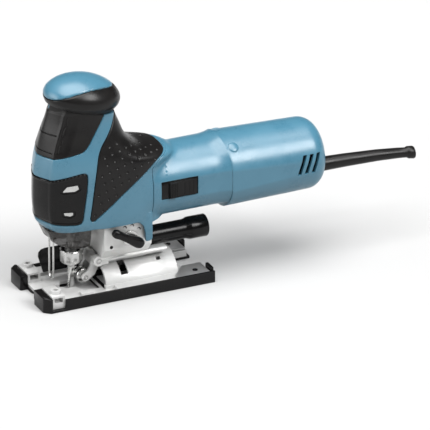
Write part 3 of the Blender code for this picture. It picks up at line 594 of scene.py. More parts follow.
def smooth_rows(rows, steps):
    """Rows between the given ones, on monotone cubics through each column."""
    table = np.array(rows, float)
    at = table[:, 0]
    width = np.diff(at)[:, None]
    slope = np.diff(table, axis=0) / width
    tangent = np.zeros_like(table)
    same = slope[:-1] * slope[1:] > 0.0
    product = np.where(same, slope[:-1] * slope[1:], 0.0)
    total = np.where(same, slope[:-1] + slope[1:], 1.0)
    tangent[1:-1] = 2.0 * product / total
    tangent[0] = slope[0]
    tangent[-1] = slope[-1]
    made = []
    for i in range(len(rows) - 1):
        for step in range(steps):
            t = step / steps
            h = width[i]
            row = (
                (2 * t**3 - 3 * t**2 + 1) * table[i]
                + (t**3 - 2 * t**2 + t) * h * tangent[i]
                + (3 * t**2 - 2 * t**3) * table[i + 1]
                + (t**3 - t**2) * h * tangent[i + 1]
            )
            made.append(tuple(row))
    made.append(tuple(table[-1]))
    return made


def head_outline(row, offset, steps):
    """One head section: a blunt wedge in front, bulging sides and a rounded back."""
    nose, ridge, ridge_half, widest, half, back = row
    nose += offset
    ridge += offset
    ridge_half += 0.6 * offset
    half += offset
    back -= offset
    points = []
    for step in range(steps):
        share = step / steps
        points.append((nose - (nose - ridge) * share**NOSE_POWER, share * ridge_half))
    for step in range(2 * steps):
        turn = 0.25 * math.pi * step / steps
        x = widest + (ridge - widest) * math.cos(turn)
        points.append((x, ridge_half + (half - ridge_half) * math.sin(turn)))
    for step in range(3 * steps + 1):
        turn = math.pi * step / (6.0 * steps)
        x = widest - (widest - back) * math.sin(turn) ** (2.0 / BACK_POWER)
        y = half * max(0.0, math.cos(turn)) ** (2.0 / BACK_POWER)
        points.append((x, y if step < 3 * steps else 0.0))
    return points + [(x, -y) for x, y in reversed(points[1:-1])]


def head_form(offset, low, high, steps, rows):
    rings = []
    for index, row in enumerate(rows):
        height = {0: low, len(rows) - 1: high}.get(index, row[0])
        rings.append([(x, y, height) for x, y in head_outline(row[1:], offset, steps)])
    return loft("head_form", rings)


def flattened_circle(radius, height, flat, count):
    """A circle about (0, height) whose sides are clipped at y = +-flat."""
    points = []
    for step in range(count):
        angle = 2.0 * math.pi * (step + 0.5) / count
        y = radius * math.cos(angle)
        points.append((max(-flat, min(flat, y)), height + radius * math.sin(angle)))
    return points


def barrel_form(offset, count):
    outline = flattened_circle(BARREL_RADIUS + offset, MOTOR_Z, BARREL_FLAT + offset, count)
    return prism("barrel_form", 0, outline, -10.0, 96.0)


def rough_body(offset):
    """The head and the barrel grown together, coarse, for the inside of a wall."""
    return join(head_form(offset, 50.0, 190.0, 6, HEAD), barrel_form(offset, 48))


def fine_body():
    """The head and the barrel as one dense skin, with soft hollows where they meet."""
    body = head_form(0.0, 60.5, 180.0, 14, smooth_rows(HEAD, 6))
    join(body, barrel_form(0.0, 180))
    remeshed(body, VOXEL)

    def near_the_join(places, low, high):
        x, z = places[:, 0], places[:, 2]
        behind = 1.0 - smooth_step(x, 92.0, 118.0)
        ahead = smooth_step(x, 30.0, 46.0)
        between = smooth_step(z, low, low + 12.0) * (1.0 - smooth_step(z, high, high + 8.0))
        return 0.5 * behind * ahead * between

    relax(body, 3, lambda places: np.full(len(places), 0.5))
    relax(body, 240, lambda places: near_the_join(places, 62.0, 108.0))
    relax(body, 70, lambda places: near_the_join(places, 96.0, 200.0))
    return body


def cover_form(offset, front, count=160, turns=16):
    """The rear cover's outer form, which narrows slightly and rounds off at its end."""
    straight = COVER_END + COVER_ROUNDING
    stations = [(front + (straight - front) * step / 30.0, 0.0) for step in range(31)]
    for step in range(1, turns + 1):
        turn = 0.5 * math.pi * step / turns
        stations.append((straight - COVER_ROUNDING * math.sin(turn), COVER_ROUNDING * (1.0 - math.cos(turn))))
    rings = []
    for x, loss in stations:
        share = (COVER_WIDEST - x) / (COVER_WIDEST - COVER_END)
        radius = COVER_RADIUS - COVER_TAPER * share - loss + offset
        flat = COVER_FLAT - COVER_FLAT_TAPER * share - loss + offset
        along = x - offset if x < straight - 0.1 else x
        outline = flattened_circle(radius, COVER_Z - share, flat, count)
        rings.append([(along, y, z) for y, z in outline])
    return loft("cover_form", rings)


def rear_seam(z, shift):
    """Where the rear cover begins: straight at the sides, and swept forward over the top."""
    rise = max(0.0, min(1.0, (z - MOTOR_Z) / BARREL_RADIUS))
    return REAR_SEAM_X + REAR_SEAM_SWEEP * rise**4 + shift


def rear_seam_line(shift):
    heights = [40.0, 95.0] + list(np.arange(98.0, 122.0, 1.5)) + [130.0]
    return [(rear_seam(z, shift), z) for z in heights]


def motor_front():
    """The motor housing's front edge, a gap behind the head shells' seam."""
    return [(x - GAP, z - 0.6 * GAP) for x, z in BACK_SEAM]


def neck_height(x):
    (x0, z0), (x1, z1) = NECK
    return z0 + (x - x0) * (z1 - z0) / (x1 - x0)


def below_neck(drop):
    """Everything under the sloping plane where the knob sits."""
    top = [(REACH, neck_height(REACH) - drop), (-REACH, neck_height(-REACH) - drop)]
    return prism("neck", 1, [(-REACH, 0.0), (REACH, 0.0)] + top, -REACH, REACH)


def side_cutter(name, outline, half=REACH):
    return prism(name, 1, outline, -half, half)


def knob_form(name):
    count = 128
    rings = []
    for height, half_length, half_width in smooth_rows(KNOB, 5):
        ring = []
        for step in range(count):
            angle = 2.0 * math.pi * step / count
            along = half_length * math.cos(angle)
            x = KNOB_CENTRE[0] + along * math.cos(KNOB_TILT) - height * math.sin(KNOB_TILT)
            z = KNOB_CENTRE[1] + along * math.sin(KNOB_TILT) + height * math.cos(KNOB_TILT)
            ring.append((x, half_width * math.sin(angle), z))
        rings.append(ring)
    return loft(name, rings)


# ---------------- materials


def node(tree, kind, inputs=None, **settings):
    """A shader node, with its inputs set or linked and its settings made."""
    made = tree.nodes.new(kind)
    for key, value in settings.items():
        setattr(made, key, value)
    for key, value in (inputs or {}).items():
        if isinstance(value, bpy.types.NodeSocket):
            tree.links.new(value, made.inputs[key])
        else:
            made.inputs[key].default_value = value
    return made


def noise(tree, size, detail=3.0, stretch=(1.0, 1.0, 1.0)):
    """Noise whose features are about a size in millimetres across."""
    where = tree.nodes.get("place") or node(tree, "ShaderNodeTexCoord", name="place")
    vector = where.outputs["Object"]
    if stretch != (1.0, 1.0, 1.0):
        vector = node(tree, "ShaderNodeMapping", {"Vector": vector, "Scale": stretch}).outputs["Vector"]
    made = node(tree, "ShaderNodeTexNoise", {"Vector": vector, "Scale": 1.0 / (size * MM), "Detail": detail})
    return made.outputs["Fac"]


def mixed(tree, share, first, second):
    """A colour between two, by a share."""
    made = node(tree, "ShaderNodeMix", data_type="RGBA")
    for index, value in ((0, share), (6, first), (7, second)):
        if isinstance(value, bpy.types.NodeSocket):
            tree.links.new(value, made.inputs[index])
        else:
            made.inputs[index].default_value = value if isinstance(value, float) else (*value, 1.0)
    return made.outputs[2]


def spread(tree, value, low, high, start=0.3, end=0.7):
    """A noise value turned into a range of a setting."""
    made = node(
        tree, "ShaderNodeMapRange",
        {"Value": value, "From Min": start, "From Max": end, "To Min": low, "To Max": high},
    )
    return made.outputs["Result"]


def edge_mask(tree):
    """1 along sharp outer and inner edges, and 0 on open faces."""
    soft = node(tree, "ShaderNodeBevel", {"Radius": WEAR_AND_GLINT_REACH * MM}, samples=4)
    true = node(tree, "ShaderNodeNewGeometry")
    dot = node(tree, "ShaderNodeVectorMath", operation="DOT_PRODUCT")
    tree.links.new(soft.outputs["Normal"], dot.inputs[0])
    tree.links.new(true.outputs["Normal"], dot.inputs[1])
    return spread(tree, dot.outputs["Value"], 1.0, 0.0, 0.82, 0.99)


def surface(
    name, colour, shade, roughness, *, patch=18.0, grain=0.35, grain_height=0.03, metallic=0.0,
    wear_and_glint=None, wear_and_glint_share=0.35, brushed=(1.0, 1.0, 1.0), specular=0.5, spread_share=0.12, alpha=1.0,
):
    """A moulded, cast or machined surface with uneven colour and gloss, fine relief and lighter edges: rubbed
    wear, and on the smoked cover a painted highlight.
    """
    made = bpy.data.materials.new(name)
    made.use_nodes = True
    tree = made.node_tree
    shader = tree.nodes["Principled BSDF"]
    blotch = noise(tree, patch, 4.0)
    tone = mixed(tree, spread(tree, blotch, 0.0, 1.0), colour, shade)
    if wear_and_glint is not None:
        mask = node(tree, "ShaderNodeMath", operation="MULTIPLY")
        tree.links.new(edge_mask(tree), mask.inputs[0])
        tree.links.new(spread(tree, noise(tree, WEAR_AND_GLINT_PATCH), 0.0, wear_and_glint_share, 0.35, 0.65), mask.inputs[1])
        # lighter colour along edges: rubbed wear, and on the smoked cover a painted highlight
        tone = mixed(tree, mask.outputs["Value"], tone, wear_and_glint)
    tree.links.new(tone, shader.inputs["Base Color"])
    fine = noise(tree, grain, 2.0, brushed)
    rough = node(tree, "ShaderNodeMath", operation="ADD")
    tree.links.new(spread(tree, fine, -0.35 * spread_share, 0.35 * spread_share), rough.inputs[0])
    low = roughness - 0.5 * spread_share
    tree.links.new(spread(tree, blotch, low, low + spread_share), rough.inputs[1])
    tree.links.new(rough.outputs["Value"], shader.inputs["Roughness"])
    bump = node(tree, "ShaderNodeBump", {"Height": fine, "Distance": grain_height * MM, "Strength": 1.0})
    tree.links.new(bump.outputs["Normal"], shader.inputs["Normal"])
    shader.inputs["Metallic"].default_value = metallic
    shader.inputs["Specular IOR Level"].default_value = specular
    shader.inputs["Alpha"].default_value = alpha
    return made


def make_materials():
    """Every material by its name, from two colours that it varies between, a roughness and settings."""
    table = {
        "blue_plastic": (
            (0.046, 0.142, 0.206), (0.053, 0.157, 0.225), 0.31,
            dict(grain=0.5, grain_height=0.008, wear_and_glint=(0.26, 0.46, 0.55), wear_and_glint_share=0.3, specular=0.6),
        ),
        "black_rubber": (
            (0.005, 0.0047, 0.0047), (0.008, 0.0073, 0.007), 0.33,
            dict(grain=0.45, grain_height=0.012, wear_and_glint=(0.04, 0.038, 0.036), wear_and_glint_share=0.3, specular=0.24),
        ),
        "black_plastic": (
            (0.0035, 0.0035, 0.0037), (0.006, 0.0056, 0.0056), 0.22,
            dict(grain=0.5, grain_height=0.006, wear_and_glint=(0.035, 0.035, 0.035), wear_and_glint_share=0.3, specular=0.2),
        ),
        "cast_aluminium": (
            (0.70, 0.70, 0.69), (0.60, 0.60, 0.59), 0.46,
            dict(
                metallic=0.5, grain=0.6, grain_height=0.05, wear_and_glint=(0.92, 0.92, 0.91),
                wear_and_glint_share=0.8, spread_share=0.2,
            ),
        ),
        "base_aluminium": (
            (0.52, 0.52, 0.515), (0.46, 0.46, 0.455), 0.50,
            dict(
                metallic=0.3, grain=0.6, grain_height=0.04, wear_and_glint=(0.85, 0.85, 0.84),
                wear_and_glint_share=0.8, spread_share=0.2,
            ),
        ),
        "bright_steel": (
            (0.62, 0.62, 0.61), (0.50, 0.50, 0.49), 0.24,
            dict(
                metallic=1.0, grain=0.5, grain_height=0.01, brushed=(1.0, 1.0, 0.15),
                wear_and_glint=(0.9, 0.9, 0.9), spread_share=0.14,
            ),
        ),
        "grey_plate": (
            (0.30, 0.30, 0.30), (0.40, 0.40, 0.40), 0.42,
            dict(metallic=0.7, grain=0.4, grain_height=0.02, wear_and_glint=(0.55, 0.55, 0.55), wear_and_glint_share=0.7),
        ),
        # the smoked cover's pale edge colour is a painted highlight: the bright lines along its clear edges
        "smoked_plastic": (
            (0.016, 0.014, 0.013), (0.026, 0.022, 0.02), 0.10,
            dict(grain=0.6, grain_height=0.008, alpha=0.66, wear_and_glint=(0.5, 0.47, 0.45), wear_and_glint_share=0.8),
        ),
        "copper_winding": (
            (0.70, 0.28, 0.11), (0.55, 0.20, 0.07), 0.35,
            dict(metallic=1.0, grain=0.8, grain_height=0.15, brushed=(0.15, 1.0, 1.0)),
        ),
        "laminated_iron": (
            (0.28, 0.28, 0.29), (0.20, 0.19, 0.19), 0.5,
            dict(metallic=1.0, grain=0.7, grain_height=0.08, brushed=(1.0, 0.1, 0.1)),
        ),
        "brass": (
            (0.72, 0.52, 0.22), (0.60, 0.42, 0.16), 0.3,
            dict(metallic=1.0, grain=0.5, grain_height=0.02),
        ),
        "carbon": (
            (0.03, 0.03, 0.03), (0.045, 0.045, 0.045), 0.7,
            dict(grain=0.4, grain_height=0.04),
        ),
        "floor": (
            (0.40, 0.40, 0.40), (0.405, 0.405, 0.405), 0.9,
            dict(patch=400.0, grain=60.0, grain_height=0.0),
        ),
    }
    return {
        name: surface(name, colour, shade, roughness, **settings)
        for name, (colour, shade, roughness, settings) in table.items()
    }


# ---------------- pieces


def make_pad(name, outline, skin, inside):
    """A soft insert: a thin layer of the body's surface inside a side outline."""
    pad = copied(skin, name)
    keep(pad, side_cutter("pad_side", inset(list(outline), GAP)))
    keep(pad, below_neck(GAP))
    return cut(pad, copied(inside, "pad_inside"))


def ridge_at(places, column):
    """A column of the head's table at each place's height: 1 nose, 2 ridge, 3 ridge half width."""
    table = np.array(HEAD)
    return np.interp(places[:, 2], table[:, 0], table[:, column])


def shape_front_grip(pad, skin, edge):
    """Blocks down the nose, and behind each ridge a hollow with short ribs in it."""

    def grooves(places):
        between = np.abs(places[:, 1]) < ridge_at(places, 3) - 0.2
        nearest = np.full(len(places), np.inf)
        for height in BLOCK_JOINTS:
            nearest = np.minimum(nearest, np.abs(places[:, 2] - height))
        return np.where(between, nearest, np.inf)

    def ribs(places):
        nearest = np.full(len(places), np.inf)
        for start, end in GRIP_RIBS:
            nearest = np.minimum(nearest, outline_distance(places, [start, end]))
        return nearest

    def depth_at(places):
        ridge = ridge_at(places, 2)
        back = np.interp(places[:, 2], *zip(*HOLLOW_BACK))
        share = (ridge - 0.6 - places[:, 0]) / (ridge - back)
        beside = np.abs(places[:, 1]) > ridge_at(places, 3) - 0.6
        hollow = smooth_step(share, 0.0, 0.14) * (1.0 - smooth_step(share, 0.55, 1.15))
        hollow *= smooth_step(places[:, 2], 133.0, 139.0)
        top = smooth_step(places[:, 2], 169.5, 171.5)
        depth = HOLLOW_DEPTH * np.where(beside, hollow * (1.0 - top), 0.0)
        depth += TOP_STEP * top * np.where(share < 0.0, 1.0, 0.0)
        depth += JOINT_DEPTH * np.clip(1.0 - (grooves(places) / JOINT_HALF) ** 2, 0.0, 1.0)
        depth -= RIB_HEIGHT * np.clip(1.0 - (ribs(places) / RIB_HALF) ** 2, 0.0, 1.0)
        return depth + edge_drop(places, [edge], PAD_SOFTNESS)

    refined(pad, lambda places: np.minimum(grooves(places), ribs(places)) < 1.4, 2)
    press(pad, skin, depth_at)


def shape_vent_panel(panel, skin, edge):
    """A sunk face inside a raised rim."""

    def from_edge(places):
        return outline_distance(places, VENT_PANEL)

    def depth_at(places):
        return VENT_SINK * smooth_step(from_edge(places), *VENT_RIM) + edge_drop(places, [edge], PAD_SOFTNESS)

    refined(panel, lambda places: np.abs(from_edge(places) - 2.4) < 1.2)
    press(panel, skin, depth_at)


def dimple_places(skin, outline):
    """Where the palm grip's dimples sit: a tilted lattice cast slantwise onto the skin."""
    tree = BVHTree.FromObject(skin, bpy.context.evaluated_depsgraph_get())
    slant = Vector((0.0, 0.8, 0.6))
    up = Vector((0.0, -0.6, 0.8))
    (down_x, down_w), (back_x, back_w) = DIMPLE_STEPS
    middle_clear, edge_clear, knob_clear = DIMPLE_CLEAR
    found = []
    for i in range(-14, 15):
        for j in range(-10, 15):
            x = DIMPLE_START[0] + i * down_x + j * back_x
            w = DIMPLE_START[1] + i * down_w + j * back_w
            place, _, _, _ = tree.ray_cast((REACH * slant + Vector((x, 0.0, 0.0)) + w * up) * MM, -slant)
            if place is None:
                continue
            place = place / MM
            edge = outline_distance(np.array([place]), outline)[0]
            if place.y > middle_clear and edge > edge_clear and inside_outline(place.x, place.z, outline):
                if place.z < neck_height(place.x) - knob_clear:
                    found.append(tuple(place))
    return np.array(found + [(x, -y, z) for x, y, z in found])


def shape_palm_grip(pad, skin, edge):
    """Rows of small round dimples over a soft grip."""
    dimples = dimple_places(skin, edge)

    def from_dimple(places):
        nearest = np.full(len(places), np.inf)
        for centre in dimples:
            nearest = np.minimum(nearest, ((places - centre) ** 2).sum(1))
        return np.sqrt(nearest)

    refined(pad, lambda places: from_dimple(places) < DIMPLE_RADIUS + 0.7)

    def depth_at(places):
        bowl = np.clip(1.0 - (from_dimple(places) / DIMPLE_RADIUS) ** 2, 0.0, 1.0)
        return DIMPLE_DEPTH * np.sqrt(bowl) + edge_drop(places, [edge], PAD_SOFTNESS)

    press(pad, skin, depth_at)


def dome(name, foot, direction, radius, height):
    """A low round cap, sunk 2 mm under a point, with its middle along a direction."""
    up = Vector(direction).normalized()
    side = up.orthogonal().normalized()
    other = up.cross(side)
    profile = [(-2.0, radius)]
    for step in range(8):
        turn = 0.5 * math.pi * step / 7.2
        profile.append((height * math.sin(turn), radius * math.cos(turn)))
    rings = []
    for rise, out in profile:
        ring = []
        for across, along in circle((0.0, 0.0), out, 48):
            ring.append(tuple(Vector(foot) + rise * up + across * side + along * other))
        rings.append(ring)
    return loft(name, rings)


def lamp_window(panel, form, outline):
    """A recess in the vent panel with a pale lens at its bottom, on both sides."""
    cutter = side_cutter("window", rounded(outline, WINDOW_CORNER))
    cut(panel, cut(cutter, grown(form, "window_floor", -WINDOW_DEPTH)))
    lens_outline = rounded(inset(outline, LENS_INSET), LENS_CORNER)
    lens = keep(grown(form, "lens", -LENS_TOP), side_cutter("lens_side", lens_outline))
    return cut(lens, grown(form, "behind_lens", -LENS_BOTTOM))


def make_body(paint):
    """The two head shells, the motor housing and the three inserts, all from one skin."""
    form = fine_body()
    skin = grown(form, "skin", PAD_PROUD)
    inside = rough_body(-PAD_DEPTH)
    front_outline = rounded(FRONT_GRIP, FRONT_CORNER)
    vent_outline = rounded(VENT_PANEL, VENT_CORNER)
    palm_outline = rounded(PALM_GRIP, PALM_CORNER)

    front = make_pad("front_grip_rubber", front_outline, skin, inside)
    shape_front_grip(front, skin, inset(front_outline, GAP))
    shown(front, "front_grip", paint, "black_rubber", 50.0)
    vent = make_pad("vent_panel_moulding", vent_outline, skin, inside)
    shape_vent_panel(vent, skin, inset(vent_outline, GAP))
    for number, outline in enumerate(LAMP_WINDOWS):
        lens = lamp_window(vent, form, outline)
        lens.name = f"lamp_lens_{number + 1}"
        shown(lens, "vent_panel", paint, "bright_steel", replaces=False)
    shown(vent, "vent_panel", paint, "black_plastic")
    palm = make_pad("palm_grip_rubber", palm_outline, skin, inside)
    shape_palm_grip(palm, skin, inset(palm_outline, GAP))
    shown(palm, "palm_grip", paint, "black_rubber", 60.0)
    bpy.data.objects.remove(inside)

    shell = cut(copied(form, "shell"), rough_body(-WALL))
    motor_side = motor_front() + [(rear_seam(150.0, GAP), 150.0)] + rear_seam_line(GAP)[::-1]
    motor = keep(copied(shell, "motor_housing_moulding"), side_cutter("motor_side", motor_side))
    cut(motor, box("switch_recess", (34.5, 68.5), (27.6, 40.0), (SWITCH_LOW - 0.5, SWITCH_HIGH + 0.5)))
    press(motor, form, motor_relief)

    floor_form = rough_body(-PAD_DEPTH - GAP)
    for outline in (front_outline, vent_outline, palm_outline):
        layer = side_cutter("pocket", outline, 60.0)
        cut(shell, cut(layer, copied(floor_form, "floor")))
    bpy.data.objects.remove(floor_form)
    head_side = list(HEAD_BOTTOM) + [(HEAD_BACK, 64.5)] + list(BACK_SEAM[1:])
    head_side += [(SEAM_TOP, 190.0), (185.0, 190.0)]
    keep(shell, side_cutter("head_side", head_side))
    keep(shell, below_neck(0.0))
    soften(shell, form, [front_outline, vent_outline, palm_outline], SHELL_SOFTNESS)
    soften(shell, form, [head_side], SEAM_SOFTNESS)
    left = keep(shell, box("left_half", (-REACH, REACH), (0.5 * GAP, REACH), (0.0, REACH)))
    left.name = "head_left_moulding"
    leg = applied(bevelled(prism("leg", 1, rounded(LEG, 1.2), 25.5, 28.4), 0.6, 3))
    join(left, leg)
    right = mirrored(left, "head_right_moulding")
    for piece, covered in ((left, "head_shell_left"), (right, "head_shell_right"), (motor, "motor_housing")):
        shown(piece, covered, paint, "blue_plastic")
    bpy.data.objects.remove(form)
    bpy.data.objects.remove(skin)


def motor_relief(places):
    """The motor housing flares out to meet the rear cover."""
    x, z = places[:, 0], places[:, 2]
    seam = np.array([rear_seam(height, GAP) for height in z])
    flare = np.clip(1.0 - (x - seam) / FLARE_LENGTH, 0.0, 1.0) ** 2
    flare *= FLARE_HEIGHT * smooth_step(z, 58.0, 68.0)
    return edge_drop(places, [motor_front()], SEAM_SOFTNESS) - flare


def make_rear_cover(paint):
    """The rear cover, with slanted vents, holes for the guard and the dial, and two screw bosses."""
    cover = cover_form(0.0, 20.0)
    cover.name = "rear_cover_moulding"
    cut(cover, cover_form(-3.0, 30.0, 48, 6))
    seam = rear_seam_line(0.0)
    outline = [(-REACH, 0.0), (-REACH, 190.0), (seam[-1][0], 190.0)] + seam[::-1] + [(seam[0][0], 0.0)]
    keep(cover, side_cutter("cover_side", outline))
    for vent in range(3):
        top = COVER_VENT_X - COVER_VENT_STEP * vent
        slot = [(top, 97.5), (top - 3.6, 97.5), (top + 2.4, 80.5), (top + 6.0, 80.5)]
        cut(cover, side_cutter("vent", slot, 60.0))
    cut(cover, cylinder("guard_hole", 0, (0.0, 71.8), 6.7, -100.0, -70.0))
    cut(cover, box("dial_slot", (-95.0, -80.0), (-8.3, 8.3), (94.9, 101.1)))
    applied(bevelled(cover, 0.45, 2, 50.0))
    for side in (1.0, -1.0):
        outwards = (0.0, side * math.cos(BOSS_TURN), math.sin(BOSS_TURN))
        foot = (BOSS[0], BOSS_REACH * outwards[1], BOSS[1] + BOSS_REACH * outwards[2])
        join(cover, dome("screw_boss", foot, outwards, 4.8, 1.4))
    shown(cover, "rear_cover", paint, "blue_plastic")


def make_knob(paint):
    """A soft mushroom grip with a hard cap set into its top."""
    grip = knob_form("knob_rubber")
    form = copied(grip, "knob_form")
    above = list(CAP_EDGE) + [(85.0, 230.0), (172.0, 230.0)]
    raised = [(x, z + GAP) for x, z in above]
    cap = keep(copied(grip, "knob_cap_moulding"), side_cutter("cap_side", raised))
    cut(grip, side_cutter("cap_room", above))
    cut(grip, below_neck(-GAP))
    soften(cap, form, [raised], CAP_SOFTNESS)
    soften(grip, form, [above], KNOB_SOFTNESS)
    bpy.data.objects.remove(form)
    shown(grip, "knob_grip", paint, "black_rubber")
    shown(cap, "knob_cap", paint, "blue_plastic")


def make_cord_guard(paint):
    """A tapered, gently drooping guard with a flared lip and an open end."""
    rings = []
    for x, z, radius in GUARD:
        rings.append([(x, y, height) for y, height in circle((0.0, z), radius, 64)])
    guard = loft("cord_guard_rubber", rings)
    cut(guard, cylinder("bore", 0, (0.0, 66.9), 3.4, -185.0, -158.0))
    shown(guard, "cord_guard", paint, "black_rubber", 40.0)


def make_dust_nozzle(paint):
    """The dust outlet, a stepped tube under the motor housing."""
    nozzle = turned("dust_nozzle_moulding", 0, (0.0, NOZZLE_Z), NOZZLE)
    cut(nozzle, turned("bore", 0, (0.0, NOZZLE_Z), NOZZLE_BORE))
    shown(nozzle, "dust_nozzle", paint, "black_plastic", 40.0)


def make_switch(paint):
    """The slider, with grip lines across its thumb rest and shallow lines behind it."""
    slider = cad_copy("switch_slider", "switch_slider_moulding")
    whole = (SWITCH_LOW - 1.0, SWITCH_HIGH + 1.0)
    middle = (SWITCH_LOW + 2.2, SWITCH_HIGH - 2.2)
    for step in range(4):
        x = 55.2 + 1.5 * step
        cut(slider, box("grip_line", (x, x + 0.6), (31.7, 33.0), whole))
    for step in range(3):
        x = 39.5 + 4.0 * step
        cut(slider, box("guide_line", (x, x + 0.5), (30.15, 31.0), middle))
    applied(bevelled(slider, 0.25, 2))
    shown(slider, "switch_slider", paint, "black_plastic")


def make_dust_cover(paint):
    """A clear smoked skirt round the blade, open behind and below."""
    shapes = []
    for shrink, low, high in ((0.0, 0.0, 0.0), (DUST_COVER_WALL, -6.0, 6.0)):
        rings = []
        for index, (z, front, half) in enumerate(DUST_COVER):
            height = z + {0: low, len(DUST_COVER) - 1: high}.get(index, 0.0)
            width = half - shrink
            nose = front - shrink
            tail = 127.0 - 4.0 * shrink
            outline = [(tail, -width), (nose - 8.0, -width)]
            outline += arc((nose - 0.62 * width - 2.0, 0.0), width, -68.0, 68.0, 28)
            outline += [(nose - 8.0, width), (tail, width)]
            rings.append([(min(x, nose), y, height) for x, y in outline])
        shapes.append(loft("dust_cover_moulding", rings))
    cover, hollow = shapes
    cut(cover, hollow)
    cut(cover, box("wire_slot", (149.0, 170.0), (-5.7, 5.7), (40.0, 54.5)))
    applied(bevelled(cover, 0.35, 2))
    # its material paints pale lines along the cover's edges as a painted highlight
    shown(cover, "dust_cover", paint, "smoked_plastic")


def make_sleeve(paint):
    """The faceted sleeve that locks the blade, its dark insert and the clamp's nose below it."""
    axis = (PLUNGER_X, 0.0)
    count = 160
    half_facet = math.pi / SLEEVE_FACETS
    rings = []
    for z, radius, flat in SLEEVE:
        ring = []
        for step in range(count):
            angle = 2.0 * math.pi * step / count
            within = angle % (2.0 * half_facet) - half_facet
            facet = math.cos(half_facet) / math.cos(within)
            out = radius * (1.0 - flat + flat * min(1.0, facet * 1.02))
            ring.append((axis[0] + out * math.cos(angle), axis[1] + out * math.sin(angle), z))
        rings.append(ring)
    sleeve = loft("clamp_sleeve_steel", rings)
    bore = ((20.0, SLEEVE_BORE), (36.4, SLEEVE_BORE), (36.41, 7.9), (45.0, 7.9))
    cut(sleeve, turned("bore", 2, axis, bore))
    shown(sleeve, "clamp_sleeve", paint, "bright_steel", 24.0)
    insert = cylinder("sleeve_insert", 2, axis, 7.7, 36.5, 37.5, 64)
    cut(insert, cylinder("bore", 2, axis, 5.95, 30.0, 45.0, 64))
    shown(insert, "clamp_sleeve", paint, "black_plastic", replaces=False)
    profile = ((22.0, 3.3), (22.6, 3.8), (24.4, 3.8), (24.6, 5.0), (26.8, 5.3))
    nose = turned("clamp_nose", 2, axis, profile, 48)
    cut(nose, box("slot", (PLUNGER_X - 3.4, PLUNGER_X + 3.7), (-1.1, 1.1), (20.0, 30.0)))
    shown(nose, "blade_clamp", paint, "bright_steel", replaces=False)


def make_orbital_lever(paint):
    """A rounded bar handle, thick at its tail and narrow in its middle."""
    along = Vector((math.cos(LEVER_TURN), 0.0, math.sin(LEVER_TURN)))
    across = Vector((-along.z, 0.0, along.x))
    middle = Vector((HUB[0], LEVER_Y, HUB[1]))
    count = 48
    rings = []
    for row in smooth_rows(LEVER, 3):
        reach, half_height, half_depth = (float(value) for value in row)
        ring = []
        for step in range(count):
            angle = 2.0 * math.pi * step / count
            high = math.copysign(abs(math.cos(angle)) ** LEVER_BLUNTNESS, math.cos(angle)) * half_height
            deep = math.copysign(abs(math.sin(angle)) ** LEVER_BLUNTNESS, math.sin(angle)) * half_depth
            ring.append(tuple(middle + reach * along + high * across + Vector((0.0, deep, 0.0))))
        rings.append(ring)
    handle = loft("orbital_lever_grip", rings)
    shown(handle, "orbital_lever", paint, "black_plastic", 60.0)


def make_foot_marks(paint):
    """Marks for the lever's four settings, round its hub, and a plug ahead of it."""
    marks = []
    for turn in MARK_TURNS:
        x = HUB[0] + MARK_REACH * math.cos(math.radians(turn))
        z = HUB[1] + MARK_REACH * math.sin(math.radians(turn))
        marks.append(arc((x, z), 1.8, 20.0, 200.0, 10) + arc((x + 0.5, z - 0.5), 1.5, 190.0, 30.0, 8))
    square = [(-1.1, -1.1), (1.1, -1.1), (1.1, 1.1), (-1.1, 1.1)]
    marks.append([(LAST_MARK[0] + x, LAST_MARK[1] + z) for x, z in square])
    marks.append(circle(PLUG, 1.5, 24))
    for number, outline in enumerate(marks):
        mark = prism(f"setting_mark_{number + 1}", 1, outline, 23.4, 24.12)
        shown(mark, "gear_housing", paint, "black_plastic", replaces=False)


def make_base_shoe(paint):
    """The cast base, with notches in its arch and lines along its flanges, and the wing plates' screws."""
    shoe = cad_copy("base_shoe", "base_shoe_casting")
    notch = [(0.0, 0.0)] + arc((0.0, 0.0), 40.0, 53.0, 62.0, 4)
    for side in (1.0, -1.0):
        cut(shoe, prism("notch", 0, [(side * y, z) for y, z in notch], 62.6, 66.4))
        for y in (33.0, 34.6):
            cut(shoe, box("line", (60.0, 131.0), sorted((side * y, side * (y + 0.6))), (7.5, 12.0)))
    applied(bevelled(shoe, 0.4, 2, 35.0))
    shown(shoe, "base_shoe", paint, "cast_aluminium", material="base_aluminium")
    for side, word in ((1.0, "left"), (-1.0, "right")):
        place = (37.0, side * 28.0)
        screw = turned(f"wing_screw_{word}", 2, place, ((9.6, 2.4), (10.3, 2.3), (10.6, 1.6)), 32)
        cut(screw, cylinder("socket", 2, place, 1.0, 10.0, 12.0, 6))
        shown(screw, f"wing_plate_{word}", paint, "black_plastic", replaces=False)


def finish_cad_nodes(paint, slots):
    """Soft edges and a material on every CAD node that still shows."""
    for name, item in NODES.items():
        item.data.materials.clear()
        item.data.materials.append(paint[slots[name]])
        if item.hide_render:
            continue
        weld = item.modifiers.new("weld", "WELD")
        weld.merge_threshold = WELD_REACH * MM
        bevelled(item, BEVELS.get(name, PLAIN_BEVEL), 2, 35.0)
        item.data.shade_smooth()


# ---------------- stage


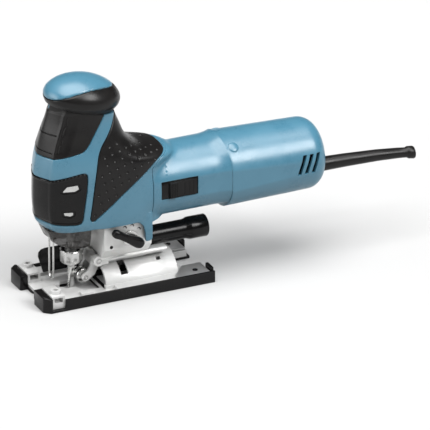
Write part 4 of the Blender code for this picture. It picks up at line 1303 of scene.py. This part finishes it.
def sun_light(name, towards, angle, strength):
    """A broad, even light from a direction."""
    data = bpy.data.lights.new(name, "SUN")
    data.angle = math.radians(angle)
    data.energy = strength
    light = bpy.data.objects.new(name, data)
    light.rotation_mode = "QUATERNION"
    light.rotation_quaternion = (-Vector(towards)).to_track_quat("-Z", "Y")
    bpy.context.scene.collection.objects.link(light)


def make_stage(paint):
    half = FLOOR_HALF
    corners = [(-half, -half, 0.0), (half, -half, 0.0), (half, half, 0.0), (-half, half, 0.0)]
    floor = solid("floor", corners, [(0, 1, 2, 3)])
    floor.data.materials.append(paint["floor"])
    world = bpy.data.worlds.new("studio")
    world.use_nodes = True
    world.node_tree.nodes["Background"].inputs["Color"].default_value = (1.0, 1.0, 1.0, 1.0)
    world.node_tree.nodes["Background"].inputs["Strength"].default_value = WORLD_LIGHT
    bpy.context.scene.world = world
    for light in LIGHTS:
        sun_light(*light)


def make_camera():
    back = Vector((
        math.sin(VIEW_AZIMUTH) * math.cos(VIEW_ELEVATION),
        -math.cos(VIEW_AZIMUTH) * math.cos(VIEW_ELEVATION),
        math.sin(VIEW_ELEVATION),
    ))
    data = bpy.data.cameras.new("camera")
    data.sensor_width = SENSOR
    data.lens = SENSOR * VIEW_DISTANCE / VIEW_WIDTH
    camera = bpy.data.objects.new("camera", data)
    camera.location = (Vector(VIEW_TARGET) + back * VIEW_DISTANCE) * MM
    camera.rotation_mode = "QUATERNION"
    camera.rotation_quaternion = (-back).to_track_quat("-Z", "Y")
    bpy.context.scene.collection.objects.link(camera)
    bpy.context.scene.camera = camera


def node_slots(record):
    """The material slot of each CAD node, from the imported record."""
    return {part["node"]: part["material_slot"] for part in record["subparts"]}


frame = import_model()
NODES = frame["nodes"]
NODE_BODY = {name: item["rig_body"] for name, item in NODES.items()}
bpy.context.scene.view_settings.view_transform = "Standard"
paint = make_materials()
make_camera()
make_stage(paint)
for make in (
    make_body, make_rear_cover, make_knob, make_cord_guard, make_dust_nozzle, make_switch, make_dust_cover,
    make_sleeve, make_orbital_lever, make_foot_marks, make_base_shoe,
):
    make(paint)
finish_cad_nodes(paint, node_slots(frame["record"]))
